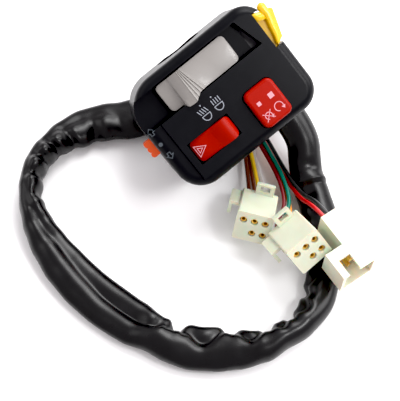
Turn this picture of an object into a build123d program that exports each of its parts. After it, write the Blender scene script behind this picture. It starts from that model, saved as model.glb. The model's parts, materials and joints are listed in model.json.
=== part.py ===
from build123d import *
import math
import os

# Left-hand handlebar switch cluster with its harness, in millimetres.
# The housing is drawn in its own frame: X along the handlebar towards the rider's right hand,
# Y towards the upper edge of the front face, Z out of the front face, the bar's axis at y = z = 0.
# Finished pieces are then laid down the way the cluster lies on a table, +Z up.

# How the housing lies: the bar's heading and dip, and the front face's roll about the bar, in degrees
bar_yaw = -45.1
bar_dip = 28.8
face_roll = 17.2

# Shared clearances
running_gap = 0.3
pin_clearance = 0.05
cut_overrun = 6.0

# Handlebar
bar_diameter = 22.2
bar_clearance = 0.05
bore_radius = bar_diameter / 2 + bar_clearance

# Stack from the bar up to the front face: saddle, contact board, beam carrier, trough
wall = 2.2
deck_wall = 2.45
board_thickness = 1.6
carrier_stand = 2.5
carrier_thickness = 4.4
trough_depth = 4.4
deck_z = bore_radius + deck_wall
face_height = deck_z + board_thickness + carrier_stand + carrier_thickness + running_gap + wall + trough_depth
roof_z = face_height - wall

# Row across the housing: turn switch, rocker, stop button, horn lever
turn_depth = 7.8
cradle_stand = 1.95
cradle_length = 17.4
kill_stand = 9.15
kill_body_height = 16.6
horn_depth = 12.9
inner_width = turn_depth + cradle_stand + cradle_length + kill_stand + kill_body_height + horn_depth
shell_width = inner_width + wall
edge_y = shell_width / 2
inner_y = edge_y - wall

# Row along the bar: edge strip, beam slider's trough, stop button, edge strip
left_strip = 4.3
trough_left = -18.3
trough_right = -4.5
kill_width = 17.5
kill_x = 15.75
right_strip = 3.9
left_x = trough_left - left_strip
right_x = kill_x + kill_width / 2 + right_strip
inner_left = left_x + wall
inner_right = right_x - wall
shell_length = right_x - left_x
shell_middle = (left_x + right_x) / 2

# Housing shells
rear_depth = 17.5
upper_corner = 10.0
lower_left_corner = 15.0
lower_right_corner = 12.0
face_round = 4.0
rear_round = 9.5

# Trough of the beam slider: foot of its end ramp, floor
trough_inset = 12.1
trough_end = edge_y - trough_inset
trough_flare = 4.0
trough_wall = 1.4
trough_floor = face_height - trough_depth
trough_underside = trough_floor - wall

# Raised panel round the rocker and the stop button
panel_rise = 0.7
panel_left = trough_right
panel_low_inset = 7.3
panel_high_inset = 8.5
panel_bottom = panel_low_inset - edge_y
panel_top = edge_y - panel_high_inset
panel_notch_x = 4.2
panel_side = right_x - face_round

# Bar saddle
saddle_wall = 2.65
saddle_side = bore_radius + saddle_wall
saddle_gap = 0.3
saddle_chamfer = 2.0
ear_radius = 3.2
ear_thickness = 2.0
ear_stand = 3.5
ear_y = saddle_side + ear_stand
ear_low_x = -10.4
ear_high_x = -3.9
ear_spots = [(ear_low_x, -ear_y), (ear_high_x, ear_y)]
ear_base = saddle_gap
ear_top = ear_base + ear_thickness

# Small screws: shank radius, head radius, head height
small_shank = 1.2
small_head = 2.3
small_head_height = 1.4
saddle_screw_depth = 8.0

# Clamp screws, their inserts and bosses
clamp_shank = 2.0
clamp_head = 3.5
clamp_head_height = 2.6
clamp_left_inset = 5.0
clamp_right_inset = 5.5
clamp_low_inset = 14.5
clamp_high_inset = 15.4
clamp_left = left_x + clamp_left_inset
clamp_right = right_x - clamp_right_inset
clamp_low = clamp_low_inset - edge_y
clamp_high = edge_y - clamp_high_inset
clamp_spots = [(clamp_left, clamp_low), (clamp_left, clamp_high), (clamp_right, clamp_low)]
boss_radius = 4.0
short_boss_height = 12.8
seat_depth = 8.5
counterbore_radius = clamp_head + running_gap
insert_radius = 2.8
insert_start = 0.8
insert_length = 8.0
rear_boss_radius = 4.8
clamp_reach = insert_start + insert_length

# Beam slider
slider_length = 35.0
slider_foot = -19.7
slider_left_gap = 0.7
slider_right_gap = 0.4
slider_left = trough_left + slider_left_gap
slider_right = trough_right - slider_right_gap
slider_corner = 2.0
slider_base = trough_floor + running_gap
slider_edge = 2.7
slider_back = 3.3
hump_foot = 5.5
hump_length = 10.7
hump_crown = 4.3
hump_rise = 6.6
hump_shoulder = 1.4
ridge_count = 4
ridge_rise = 0.35
slider_head = slider_foot + slider_length
hump_start = slider_foot + hump_foot
hump_end = hump_start + hump_length
flange_reach = 2.1
flange_thickness = slider_base + hump_rise - face_height - panel_rise - running_gap
flange_length = 5.4
stem_width = 4.4
stem_length = 12.0
stem_x = -11.0
beam_travel = 6.0

# Beam carrier and what it holds
carrier_width = 9.0
carrier_length = 18.0
carrier_top = trough_underside - running_gap
carrier_base = carrier_top - carrier_thickness
stem_peg_depth = 1.5
beam_recess_depth = 2.6
beam_recess_length = 12.0
beam_recess_width = 6.6
ball_radius = 1.2
ball_y = 7.4
ball_stand = 0.8
ball_pocket_depth = 3.2
notch_depth = 0.25
detent_wire = 0.15
detent_turns = 4

# Beam contact board
board_top = deck_z + board_thickness
beam_board_gap = 0.5
beam_board_left = inner_left + beam_board_gap
beam_board_right = -2.0
beam_board_reach = 13.0
pad_height = 0.4
beam_pad_width = 4.2
beam_pad_length = 4.4
beam_pad_pitch = 5.6
strip_thickness = 0.4
sliding_gap = 0.2
beam_strip_width = 4.0
beam_strip_length = 11.0
contact_bump = 0.6
beam_screw_spots = [(-17.2, -9.8), (-4.4, 10.4)]
board_screw_bite = 3.0

# Engine stop button
kill_height = 14.0
kill_y = edge_y - horn_depth - kill_body_height / 2
kill_corner = 2.8
kill_bevel = 1.3
kill_proud = 3.4
kill_gap = 0.3
kill_skirt = 5.0
kill_travel = 3.0
kill_top = face_height + kill_proud
kill_base = face_height - kill_skirt
plunger_radius = 3.6
plunger_bore = 2.4
plunger_length = 5.1
spring_headroom = 4.0
kill_body_width = 15.0
kill_body_sink = 8.3
kill_body_top = face_height - kill_body_sink
kill_body_wall = 1.4
kill_body_floor = 1.1
kill_strip_length = 10.6
kill_strip_width = 3.4
kill_spring_wire = 0.4
kill_spring_turns = 7
kill_rib_length = 11.0
kill_rib_width = 0.9
blade_width = 1.6
blade_length = 5.0
blade_thickness = 0.8

# Hazard rocker
rocker_width = 9.5
rocker_x = 13.75
rocker_sink = 4.5
rocker_y = turn_depth + cradle_stand + cradle_length / 2 - inner_y
rocker_pivot_z = face_height - rocker_sink
rocker_radius = 11.2
rocker_under = 3.6
rocker_crease = 5.5
rocker_low = 3.4
rocker_high = 7.6
rocker_crown = 7.9
rocker_round = 1.0
rocker_corner = 2.4
rocker_crease_share = 1 / 12
rocker_gap = 0.3
rocker_swing = 14.0
pivot_radius = 1.0
plunger_pin_radius = 1.2
plunger_pin_reach = 7.0
plunger_pin_length = 4.8
cradle_wall = 1.2
cradle_floor = 1.4
cradle_ear_length = 7.4
cradle_headroom = 0.2
cradle_top = roof_z - cradle_headroom
seesaw_length = 13.0
seesaw_width = 3.0
seesaw_tilt = 4.0
post_width = 2.2
rocker_spring_wire = 0.18
rocker_spring_turns = 3

# Horn lever: pivot, outer face from tip to root, span out of the face, cheeks
horn_pivot_x = 1.5
horn_pivot_inset = 7.0
horn_pivot_y = edge_y - horn_pivot_inset
horn_span = 14.4
horn_headroom = 0.4
horn_high_z = roof_z - horn_headroom
horn_low_z = horn_high_z - horn_span
horn_hub = 3.2
horn_pin_radius = 1.2
horn_tip_x = -13.9
horn_tip_reach = 4.4
horn_tip_y = edge_y + horn_tip_reach
horn_root_x = -1.6
horn_root_reach = 0.5
horn_root_y = edge_y + horn_root_reach
horn_heel_x = 0.2
horn_heel_inset = 3.0
horn_heel_y = edge_y - horn_heel_inset
horn_knee_x = -2.0
horn_knee_inset = 5.0
horn_skirt_inset = 4.1
horn_knee_y = edge_y - horn_knee_inset
horn_skirt_y = edge_y - horn_skirt_inset
horn_plate = 2.2
horn_side = 1.4
horn_tip_round = 1.2
horn_plate_top = face_height - horn_headroom
horn_gap = 0.4
horn_swing = 7.0
notch_radius = 18.2
notch_inset = 4.3
notch_edge = edge_y - notch_inset
pin_foot = 2.0
pin_head = roof_z + wall / 2 - running_gap
horn_post_radius = 2.9
horn_post_top = horn_low_z - horn_headroom
horn_spring_x = -10.55
horn_spring_radius = 1.6
horn_spring_wire = 0.45
horn_spring_turns = 5
horn_spring_z = 17.0
horn_stud_left = -8.6
horn_stud_right = -5.4
horn_stud_inset = 6.1
horn_stud_tip = edge_y - horn_stud_inset
horn_stud_low = 15.4
horn_stud_width = 3.2
horn_block_left = -14.0
horn_block_right = -4.2
horn_block_inset = 8.6
horn_block_depth = 4.8
horn_block_head = edge_y - horn_block_inset
horn_block_foot = horn_block_head - horn_block_depth
horn_block_low = 4.6
horn_rivet_radius = 1.2

# Turn-signal slider
knob_x = 2.0
knob_width = 7.5
knob_low_z = 12.0
knob_tall = 6.0
knob_proud = 3.6
knob_lobes = 3
knob_travel = 4.0
knob_gap = 0.3
turn_plate_length = 20.0
turn_plate_low = 10.0
turn_plate_high = 21.0
turn_plate_thickness = 1.8
turn_plate_gap = 0.8
turn_block_length = 11.0
turn_block_tall = 6.4
turn_board_face = turn_depth - inner_y
turn_board_length = 20.0
turn_board_low = 3.2
turn_board_high = 17.4
turn_strip_length = 9.0
turn_strip_width = 3.4
turn_pad_pitch = 4.6
turn_pad_width = 3.4
turn_ball_radius = 1.0
turn_ball_aside = 7.0
turn_ball_x = knob_x - turn_ball_aside
turn_ball_z = 19.8
turn_detent_turns = 2
turn_boss_radius = 2.5
turn_boss_z = 6.2
turn_boss_spread = 6.5

# Harness grommet in the end wall
gland_y = 19.9
gland_hole = 5.0
gland_flange = 7.3
gland_flange_thickness = 1.6
gland_inner_flange = 5.9

# Harness sleeve: diameter, first straight out of the grommet, height of its axis on the table,
# and its loop as places on the table from the bar centre's foot point
sleeve_diameter = 15.0
sleeve_exit_run = 11.0
sleeve_height = sleeve_diameter / 2 + 0.1
sleeve_drop = (42.4, -26.4, 9.4)
sleeve_loop = [
    (47.4, -43.6),
    (50.2, -62.0),
    (47.5, -84.0),
    (40.5, -98.5),
    (27.0, -107.5),
    (8.0, -109.5),
    (-13.0, -105.5),
    (-36.0, -94.0),
    (-59.4, -74.7),
    (-74.0, -56.0),
    (-80.5, -38.0),
    (-78.5, -21.0),
    (-68.0, -8.5),
    (-52.0, -2.0),
    (-36.0, 2.8),
    (-20.0, 10.0),
    (-4.0, 16.0),
]
bend_share = 0.45

# Wires: radius, rows they run in, and the places they pass under and beside the housing
wire_radius = 0.9
wire_step = 1.15
wire_row = 1.1
wire_lead = 9.0
under_gate = (18.5, -3.0, 2.3)
side_gate = (36.3, -40.5, 9.6)
side_step = 0.81
wire_mitre = 0.72
gate_across = (0.77, 0.64, 0.0)
side_across = (1.0, 0.2, 0.6)
plug_a_tail = 4.0
plug_b_tail = 5.0
plug_c_tail = 8.0
wire_names = [
    "wire_brown",
    "wire_tan",
    "wire_yellow",
    "wire_white",
    "wire_maroon",
    "wire_orange",
    "wire_green",
    "wire_red",
    "wire_black",
]

# Connectors: body, holes, terminals, latch tab and side wing
plug_length = 19.0
plug_width = 15.7
plug_height = 13.8
plug_round = 0.8
hole_pitch = 4.7
row_pitch = 5.8
hole_radius = 1.6
terminal_radius = 1.3
terminal_bore = 0.8
terminal_recess = 1.0
terminal_length = 15.0
hole_spots = [(-hole_pitch, row_pitch / 2), (0, row_pitch / 2), (hole_pitch, row_pitch / 2)]
hole_spots += [(0, -row_pitch / 2), (hole_pitch, -row_pitch / 2)]
tab_middle = 1.5
tab_width = 8.0
tab_height = 4.8
tab_thickness = 2.2
window_width = 4.2
window_height = 2.4
wing_reach = 4.6
wing_wall = 1.5
wing_length = 10.5
wing_low = -0.6
wing_top = 5.4
header_length = 27.0
header_width = 17.0
header_height = 14.0
header_wall = 1.5
header_front = 12.5
header_mouth = 10.5
header_slot_width = 5.5
header_slot_length = 7.5
header_pin_radius = 1.0
header_pin_length = 6.0
header_pin_start = -12.4

# Where the connectors lie: middle of the front face, mating direction, latch direction
plug_a_front = (17.9, -59.0, 16.9)
plug_a_mating = (-0.159, -0.812, 0.559)
plug_a_latch = (0.184, 0.532, 0.825)
plug_b_front = (40.3, -73.9, 27.0)
plug_b_mating = (0.344, -0.724, 0.600)
plug_b_latch = (-0.558, 0.358, 0.752)
header_front_middle = (60.4, -81.9, 22.2)
header_mating = (0.56, -0.83, 0.0)
header_latch = (0.0, 0.0, 1.0)

os.makedirs("parts", exist_ok=True)
pieces = []


def keep(builder, label):
    """Put a finished housing piece on the list of pieces to lay down."""
    builder.part.label = label
    pieces.append(builder.part)


def shell_outline(inset):
    """Outline of the housing seen from the front, drawn in by inset, inside a sketch."""
    with Locations((shell_middle, 0)):
        Rectangle(shell_length - 2 * inset, shell_width - 2 * inset)
    upper = vertices().group_by(Axis.Y)[-1]
    fillet(upper, radius=upper_corner - inset)
    lower_left = vertices().group_by(Axis.Y)[0].sort_by(Axis.X)[0]
    fillet(lower_left, radius=lower_left_corner - inset)
    lower_right = vertices().group_by(Axis.Y)[0].sort_by(Axis.X)[-1]
    fillet(lower_right, radius=lower_right_corner - inset)


def block(x_low, x_high, y_low, y_high, z_low, z_high, mode=Mode.ADD):
    """A box between two corners, inside a part."""
    centre = ((x_low + x_high) / 2, (y_low + y_high) / 2, (z_low + z_high) / 2)
    with Locations(centre):
        Box(x_high - x_low, y_high - y_low, z_high - z_low, mode=mode)


def post(x, y, z_low, z_high, radius, mode=Mode.ADD):
    """A round post standing along Z, inside a part."""
    with Locations((x, y, (z_low + z_high) / 2)):
        Cylinder(radius, z_high - z_low, mode=mode)


def bar_rod(x_low, x_high, y, z, radius, mode=Mode.ADD):
    """A round rod lying along the bar, inside a part."""
    with Locations(Location(((x_low + x_high) / 2, y, z), (0, 90, 0))):
        Cylinder(radius, x_high - x_low, mode=mode)


def edge_rod(x, y_low, y_high, z, radius, mode=Mode.ADD):
    """A round rod lying along Y, inside a part."""
    with Locations(Location((x, (y_low + y_high) / 2, z), (90, 0, 0))):
        Cylinder(radius, y_high - y_low, mode=mode)


def coil(foot, along, length, radius, wire, turns):
    """A compression spring from its foot along a direction, outer radius and wire radius given."""
    axis = Vector(along)
    with BuildLine() as spine:
        Helix(
            pitch=(length - 2 * wire) / turns,
            height=length - 2 * wire,
            radius=radius - wire,
            center=Vector(foot) + axis * wire,
            direction=axis,
        )
    start = spine.line @ 0
    tangent = spine.line % 0
    with BuildSketch(Plane(origin=start, z_dir=tangent)) as section:
        Circle(wire)
    sweep(section.sketch, path=spine.line, is_frenet=True)


# Housing


def trough_cut():
    """Open the beam slider's trough in the front face, with the wedge-shaped pocket at its upper end."""
    with BuildSketch(Plane.XY.offset(trough_floor)) as floor_plan:
        with BuildLine():
            Polyline(
                (trough_left, -edge_y - cut_overrun),
                (trough_right, -edge_y - cut_overrun),
                (trough_right, trough_end + trough_flare),
                (trough_left, trough_end),
                close=True,
            )
        make_face()
    extrude(floor_plan.sketch, amount=trough_depth + cut_overrun, mode=Mode.SUBTRACT)
    with BuildSketch(Plane.XY.offset(trough_underside - wall)) as pocket_plan:
        with BuildLine():
            Polyline(
                (trough_left, trough_end),
                (trough_right, trough_end),
                (trough_right, trough_end + trough_flare),
                close=True,
            )
        make_face()
    extrude(pocket_plan.sketch, amount=2 * wall + trough_depth, mode=Mode.SUBTRACT)


def lever_notch():
    """Notch the face's upper edge for the horn lever: a slice of a circle about the lever's pivot."""
    notch_side = horn_heel_x + horn_gap
    with BuildSketch(Plane.XY.offset(horn_low_z - horn_gap)) as notch:
        with Locations((horn_pivot_x, horn_pivot_y)):
            Circle(notch_radius)
        with Locations((notch_side - notch_radius, notch_edge + notch_radius)):
            Rectangle(2 * notch_radius, 2 * notch_radius, mode=Mode.INTERSECT)
    extrude(notch.sketch, amount=face_height, mode=Mode.SUBTRACT)


def make_front_shell():
    """Front shell: face, trough, button openings, bosses and the upper half of the cable gland's seat."""
    with BuildPart() as front_shell:
        with BuildSketch(Plane.XY):
            shell_outline(0)
        extrude(amount=face_height)
        fillet(front_shell.faces().sort_by(Axis.Z)[-1].edges(), radius=face_round)
        with BuildSketch(Plane.XY.offset(face_height)):
            with BuildLine():
                Polyline(
                    (panel_left, panel_bottom),
                    (panel_left, panel_top),
                    (panel_notch_x, panel_top),
                    (kill_x - kill_width / 2, kill_y + kill_height / 2),
                    (panel_side, kill_y + kill_height / 2),
                    (panel_side, panel_bottom),
                    close=True,
                )
            make_face()
        extrude(amount=panel_rise)
        with BuildSketch(Plane.XY):
            shell_outline(wall)
        extrude(amount=trough_underside, mode=Mode.SUBTRACT)
        with BuildSketch(Plane.XY.offset(trough_underside)):
            shell_outline(wall)
            block_top = trough_end + trough_flare + trough_wall
            with Locations(((trough_left + trough_right) / 2, block_top - shell_width)):
                Rectangle(trough_right - trough_left + 2 * wall, 2 * shell_width, mode=Mode.SUBTRACT)
        extrude(amount=roof_z - trough_underside, mode=Mode.SUBTRACT)
        trough_cut()
        front_openings()
        front_bosses()
        bar_rod(left_x - cut_overrun, right_x + cut_overrun, 0, 0, bore_radius, mode=Mode.SUBTRACT)
        bar_rod(inner_right - cut_overrun, right_x + cut_overrun, gland_y, 0, gland_hole, mode=Mode.SUBTRACT)
    keep(front_shell, "front_shell")


def front_openings():
    """Openings for the slider's stem, stop button, rocker, horn lever and turn knob."""
    stem_low = -stem_length / 2 - running_gap
    stem_high = stem_length / 2 + beam_travel + running_gap
    stem_half = stem_width / 2 + running_gap
    block(
        stem_x - stem_half,
        stem_x + stem_half,
        stem_low,
        stem_high,
        trough_underside - wall,
        face_height,
        mode=Mode.SUBTRACT,
    )
    groove_half = ball_radius + pin_clearance
    block(
        stem_x - groove_half,
        stem_x + groove_half,
        ball_y - groove_half,
        ball_y + beam_travel + groove_half,
        trough_underside - wall,
        carrier_top + ball_stand + running_gap + pin_clearance,
        mode=Mode.SUBTRACT,
    )
    with BuildSketch(Plane.XY.offset(roof_z - wall)) as window:
        with Locations((kill_x, kill_y)):
            RectangleRounded(kill_width + 2 * kill_gap, kill_height + 2 * kill_gap, kill_corner + kill_gap)
    extrude(window.sketch, amount=2 * cut_overrun, mode=Mode.SUBTRACT)
    rocker_half = rocker_width / 2 + rocker_gap
    bar_rod(
        rocker_x - rocker_half,
        rocker_x + rocker_half,
        rocker_y,
        rocker_pivot_z,
        rocker_radius + rocker_gap,
        mode=Mode.SUBTRACT,
    )
    lever_notch()
    knob_half = knob_width / 2 + knob_travel + knob_gap
    block(
        knob_x - knob_half,
        knob_x + knob_half,
        -edge_y - cut_overrun,
        -inner_y + turn_plate_gap / 2,
        knob_low_z - knob_gap,
        knob_low_z + knob_tall + knob_gap,
        mode=Mode.SUBTRACT,
    )
    turn_groove_half = turn_ball_radius + running_gap
    block(
        turn_ball_x - knob_travel - turn_groove_half,
        turn_ball_x + knob_travel + turn_groove_half,
        -inner_y - notch_depth,
        -inner_y + notch_depth,
        turn_ball_z - turn_groove_half,
        turn_ball_z + turn_groove_half,
        mode=Mode.SUBTRACT,
    )


def front_bosses():
    """Bosses for the clamp and saddle screws, the horn pivot's socket, ribs and the turn board's feet."""
    for index, (x, y) in enumerate(clamp_spots):
        top = short_boss_height if index == len(clamp_spots) - 1 else trough_underside
        post(x, y, 0, top, boss_radius)
        post(x, y, -cut_overrun, insert_start + insert_length, insert_radius, mode=Mode.SUBTRACT)
    for x, y in ear_spots:
        post(x, y, ear_top, trough_underside, ear_radius)
        post(x, y, ear_top, ear_top + saddle_screw_depth, small_shank + pin_clearance, mode=Mode.SUBTRACT)
    pin_socket = horn_pin_radius + pin_clearance
    post(horn_pivot_x, horn_pivot_y, roof_z - pin_clearance, roof_z + wall / 2, pin_socket, mode=Mode.SUBTRACT)
    for edge in (-1, 1):
        rib_y = kill_y + edge * (kill_body_height - kill_rib_width) / 2
        block(
            kill_x - kill_rib_length / 2,
            kill_x + kill_rib_length / 2,
            rib_y - kill_rib_width / 2,
            rib_y + kill_rib_width / 2,
            kill_body_top,
            roof_z,
        )
    for side in (-1, 1):
        x = knob_x + side * turn_boss_spread
        edge_rod(x, -inner_y, turn_board_face, turn_boss_z, turn_boss_radius)
        edge_rod(
            x,
            turn_board_face - board_screw_bite,
            turn_board_face,
            turn_boss_z,
            small_shank + pin_clearance,
            mode=Mode.SUBTRACT,
        )


def make_rear_shell():
    """Rear shell: rounded back, lower half of the bar seat, screw bosses and the horn pin's post."""
    with BuildPart() as rear_shell:
        with BuildSketch(Plane.XY):
            shell_outline(0)
        extrude(amount=-rear_depth)
        fillet(rear_shell.faces().sort_by(Axis.Z)[0].edges(), radius=rear_round)
        outer_form = rear_shell.part
        mouth = rear_shell.faces().sort_by(Axis.Z)[-1]
        offset(amount=-wall, openings=mouth)
        bar_rod(inner_left, inner_right, 0, 0, bore_radius + wall)
        for x, y in clamp_spots:
            post(x, y, -rear_depth, 0, rear_boss_radius)
        add(outer_form, mode=Mode.INTERSECT)
        post(horn_pivot_x, horn_pivot_y, -rear_depth + wall, horn_post_top, horn_post_radius)
        post(horn_pivot_x, horn_pivot_y, pin_foot, horn_post_top, horn_pin_radius + pin_clearance, Mode.SUBTRACT)
        for x, y in clamp_spots:
            post(x, y, -rear_depth, cut_overrun, clamp_shank + pin_clearance, mode=Mode.SUBTRACT)
            post(x, y, -rear_depth - cut_overrun, -seat_depth, counterbore_radius, mode=Mode.SUBTRACT)
        bar_rod(left_x - cut_overrun, right_x + cut_overrun, 0, 0, bore_radius, mode=Mode.SUBTRACT)
        bar_rod(inner_right - cut_overrun, right_x + cut_overrun, gland_y, 0, gland_hole, mode=Mode.SUBTRACT)
    keep(rear_shell, "rear_shell")


def make_bar_saddle():
    """Saddle that closes the switch chamber over the bar, with two screw ears and blind board holes."""
    with BuildPart() as bar_saddle:
        block(
            inner_left + saddle_gap,
            inner_right - saddle_gap,
            -saddle_side,
            saddle_side,
            saddle_gap,
            deck_z,
        )
        top_edges = bar_saddle.faces().sort_by(Axis.Z)[-1].edges().filter_by(Axis.X)
        chamfer(top_edges, length=saddle_chamfer)
        for x, y in ear_spots:
            post(x, y, ear_base, ear_top, ear_radius)
            inward = math.copysign(saddle_side - saddle_chamfer, y)
            block(x - ear_radius, x + ear_radius, min(inward, y), max(inward, y), ear_base, ear_top)
        for x, y in ear_spots:
            post(x, y, -cut_overrun, ear_top, small_shank + pin_clearance, mode=Mode.SUBTRACT)
        for x, y in beam_screw_spots:
            post(x, y, deck_z - board_screw_bite, deck_z, small_shank + pin_clearance, mode=Mode.SUBTRACT)
        bar_rod(left_x, right_x, 0, 0, bore_radius, mode=Mode.SUBTRACT)
    keep(bar_saddle, "bar_saddle")


def make_housing_screws():
    """Clamp screws with their inserts, and the saddle's screws."""
    with BuildPart() as clamp_screws:
        for x, y in clamp_spots:
            post(x, y, -seat_depth, clamp_reach, clamp_shank)
            post(x, y, -seat_depth - clamp_head_height, -seat_depth, clamp_head)
            slot_z = -seat_depth - clamp_head_height
            block(
                x - clamp_head,
                x + clamp_head,
                y - small_shank / 2,
                y + small_shank / 2,
                slot_z,
                slot_z + small_shank,
                mode=Mode.SUBTRACT,
            )
    keep(clamp_screws, "clamp_screws")
    with BuildPart() as clamp_inserts:
        for x, y in clamp_spots:
            post(x, y, insert_start, insert_start + insert_length, insert_radius)
            post(x, y, insert_start, insert_start + insert_length, clamp_shank + pin_clearance, Mode.SUBTRACT)
    keep(clamp_inserts, "clamp_inserts")
    with BuildPart() as saddle_screws:
        for x, y in ear_spots:
            post(x, y, ear_base, ear_top + saddle_screw_depth - running_gap, small_shank)
            post(x, y, ear_base - small_head_height, ear_base, small_head)
    keep(saddle_screws, "saddle_screws")


# Beam slider


def slider_profile():
    """Side view of the beam slider in the Y-Z plane: flat back, ridged ramp, hump and toe."""
    ridged_run = hump_end - hump_start - hump_shoulder - hump_crown
    back_z = slider_base + slider_back
    crest_z = slider_base + hump_rise
    points = [(slider_foot, slider_base), (slider_head, slider_base)]
    points.append((slider_head, slider_base + slider_edge))
    points.append((hump_end, back_z))
    for index in range(ridge_count):
        share = (index + 1) / ridge_count
        y = hump_end - ridged_run * share
        z = back_z + (crest_z - back_z) * share
        points.append((y + ridged_run / ridge_count / 2, z))
        points.append((y, z - ridge_rise))
    points.append((hump_start + hump_shoulder + hump_crown - ridge_rise, crest_z))
    points.append((hump_start + hump_shoulder, crest_z))
    points.append((hump_start, back_z))
    points.append((slider_foot, slider_base + slider_edge))
    return points


def make_beam_slider():
    """Long grey slider with its ridged hump, side flange and the stem that passes the trough's floor."""
    with BuildPart() as beam_slider:
        with BuildSketch(Plane.YZ.offset(slider_left)):
            with BuildLine():
                Polyline(*slider_profile(), close=True)
            make_face()
        extrude(amount=slider_right - slider_left)
        low_corners = beam_slider.edges().filter_by(Axis.Z).group_by(Axis.Y)[0]
        high_corners = beam_slider.edges().filter_by(Axis.Z).group_by(Axis.Y)[-1]
        fillet(low_corners + high_corners, radius=slider_corner)
        crest_z = slider_base + hump_rise
        flange_low = hump_start + hump_shoulder
        block(
            slider_right - wall,
            slider_right + flange_reach,
            flange_low,
            flange_low + flange_length,
            crest_z - flange_thickness,
            crest_z,
        )
        block(
            stem_x - stem_width / 2,
            stem_x + stem_width / 2,
            -stem_length / 2,
            stem_length / 2,
            carrier_top - stem_peg_depth,
            slider_base,
        )
    keep(beam_slider, "beam_slider")


def make_beam_carrier():
    """Carrier under the trough: it holds the bridge contact below and the detent ball above."""
    with BuildPart() as beam_carrier:
        block(
            stem_x - carrier_width / 2,
            stem_x + carrier_width / 2,
            -carrier_length / 2,
            carrier_length / 2,
            carrier_base,
            carrier_top,
        )
        block(
            stem_x - stem_width / 2,
            stem_x + stem_width / 2,
            -stem_length / 2,
            stem_length / 2,
            carrier_top - stem_peg_depth,
            carrier_top,
            mode=Mode.SUBTRACT,
        )
        block(
            stem_x - beam_recess_width / 2,
            stem_x + beam_recess_width / 2,
            -beam_recess_length / 2,
            beam_recess_length / 2,
            carrier_base,
            carrier_base + beam_recess_depth - running_gap,
            mode=Mode.SUBTRACT,
        )
        pocket = ball_radius + pin_clearance
        post(stem_x, ball_y, carrier_top - ball_pocket_depth, carrier_top, pocket, mode=Mode.SUBTRACT)
    keep(beam_carrier, "beam_carrier")


def make_beam_inner_parts():
    """Bridge contact, contact spring, detent ball and detent spring of the beam slider."""
    strip_base = board_top + pad_height + sliding_gap
    recess_top = carrier_base + beam_recess_depth - running_gap
    with BuildPart() as beam_bridge_contact:
        block(
            stem_x - beam_strip_width / 2,
            stem_x + beam_strip_width / 2,
            -beam_strip_length / 2,
            beam_strip_length / 2,
            strip_base + contact_bump,
            strip_base + contact_bump + strip_thickness,
        )
        for end in (-1, 1):
            y = end * (beam_strip_length - beam_strip_width) / 2
            post(stem_x, y, strip_base, strip_base + contact_bump, beam_strip_width / 3)
    keep(beam_bridge_contact, "beam_bridge_contact")
    spring_seat = strip_base + contact_bump + strip_thickness
    with BuildPart() as beam_contact_spring:
        coil(
            (stem_x, 0, spring_seat),
            (0, 0, 1),
            recess_top - spring_seat,
            beam_strip_width / 2,
            detent_wire,
            detent_turns,
        )
    keep(beam_contact_spring, "beam_contact_spring")
    ball_z = carrier_top + ball_stand - ball_radius
    with BuildPart() as beam_detent_ball:
        with Locations((stem_x, ball_y, ball_z)):
            Sphere(ball_radius)
    keep(beam_detent_ball, "beam_detent_ball")
    pocket_floor = carrier_top - ball_pocket_depth
    with BuildPart() as beam_detent_spring:
        coil(
            (stem_x, ball_y, pocket_floor),
            (0, 0, 1),
            ball_z - ball_radius - pocket_floor,
            ball_radius - pin_clearance,
            detent_wire,
            detent_turns,
        )
    keep(beam_detent_spring, "beam_detent_spring")


def make_beam_board():
    """Contact board on the saddle's deck, its three contact pads and two screws."""
    with BuildPart() as beam_contact_board:
        block(
            beam_board_left,
            beam_board_right,
            -beam_board_reach,
            beam_board_reach,
            deck_z,
            board_top,
        )
        for x, y in beam_screw_spots:
            post(x, y, deck_z, board_top, small_shank + pin_clearance, mode=Mode.SUBTRACT)
    keep(beam_contact_board, "beam_contact_board")
    with BuildPart() as beam_fixed_contacts:
        for step in (-1, 0, 1):
            y = beam_travel / 2 + step * beam_pad_pitch
            block(
                stem_x - beam_pad_width / 2,
                stem_x + beam_pad_width / 2,
                y - beam_pad_length / 2,
                y + beam_pad_length / 2,
                board_top,
                board_top + pad_height,
            )
    keep(beam_fixed_contacts, "beam_fixed_contacts")
    with BuildPart() as beam_board_screws:
        for x, y in beam_screw_spots:
            post(x, y, deck_z - board_screw_bite + running_gap, board_top, small_shank)
            post(x, y, board_top, board_top + small_head_height, small_head)
    keep(beam_board_screws, "beam_board_screws")


# Engine stop button


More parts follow.
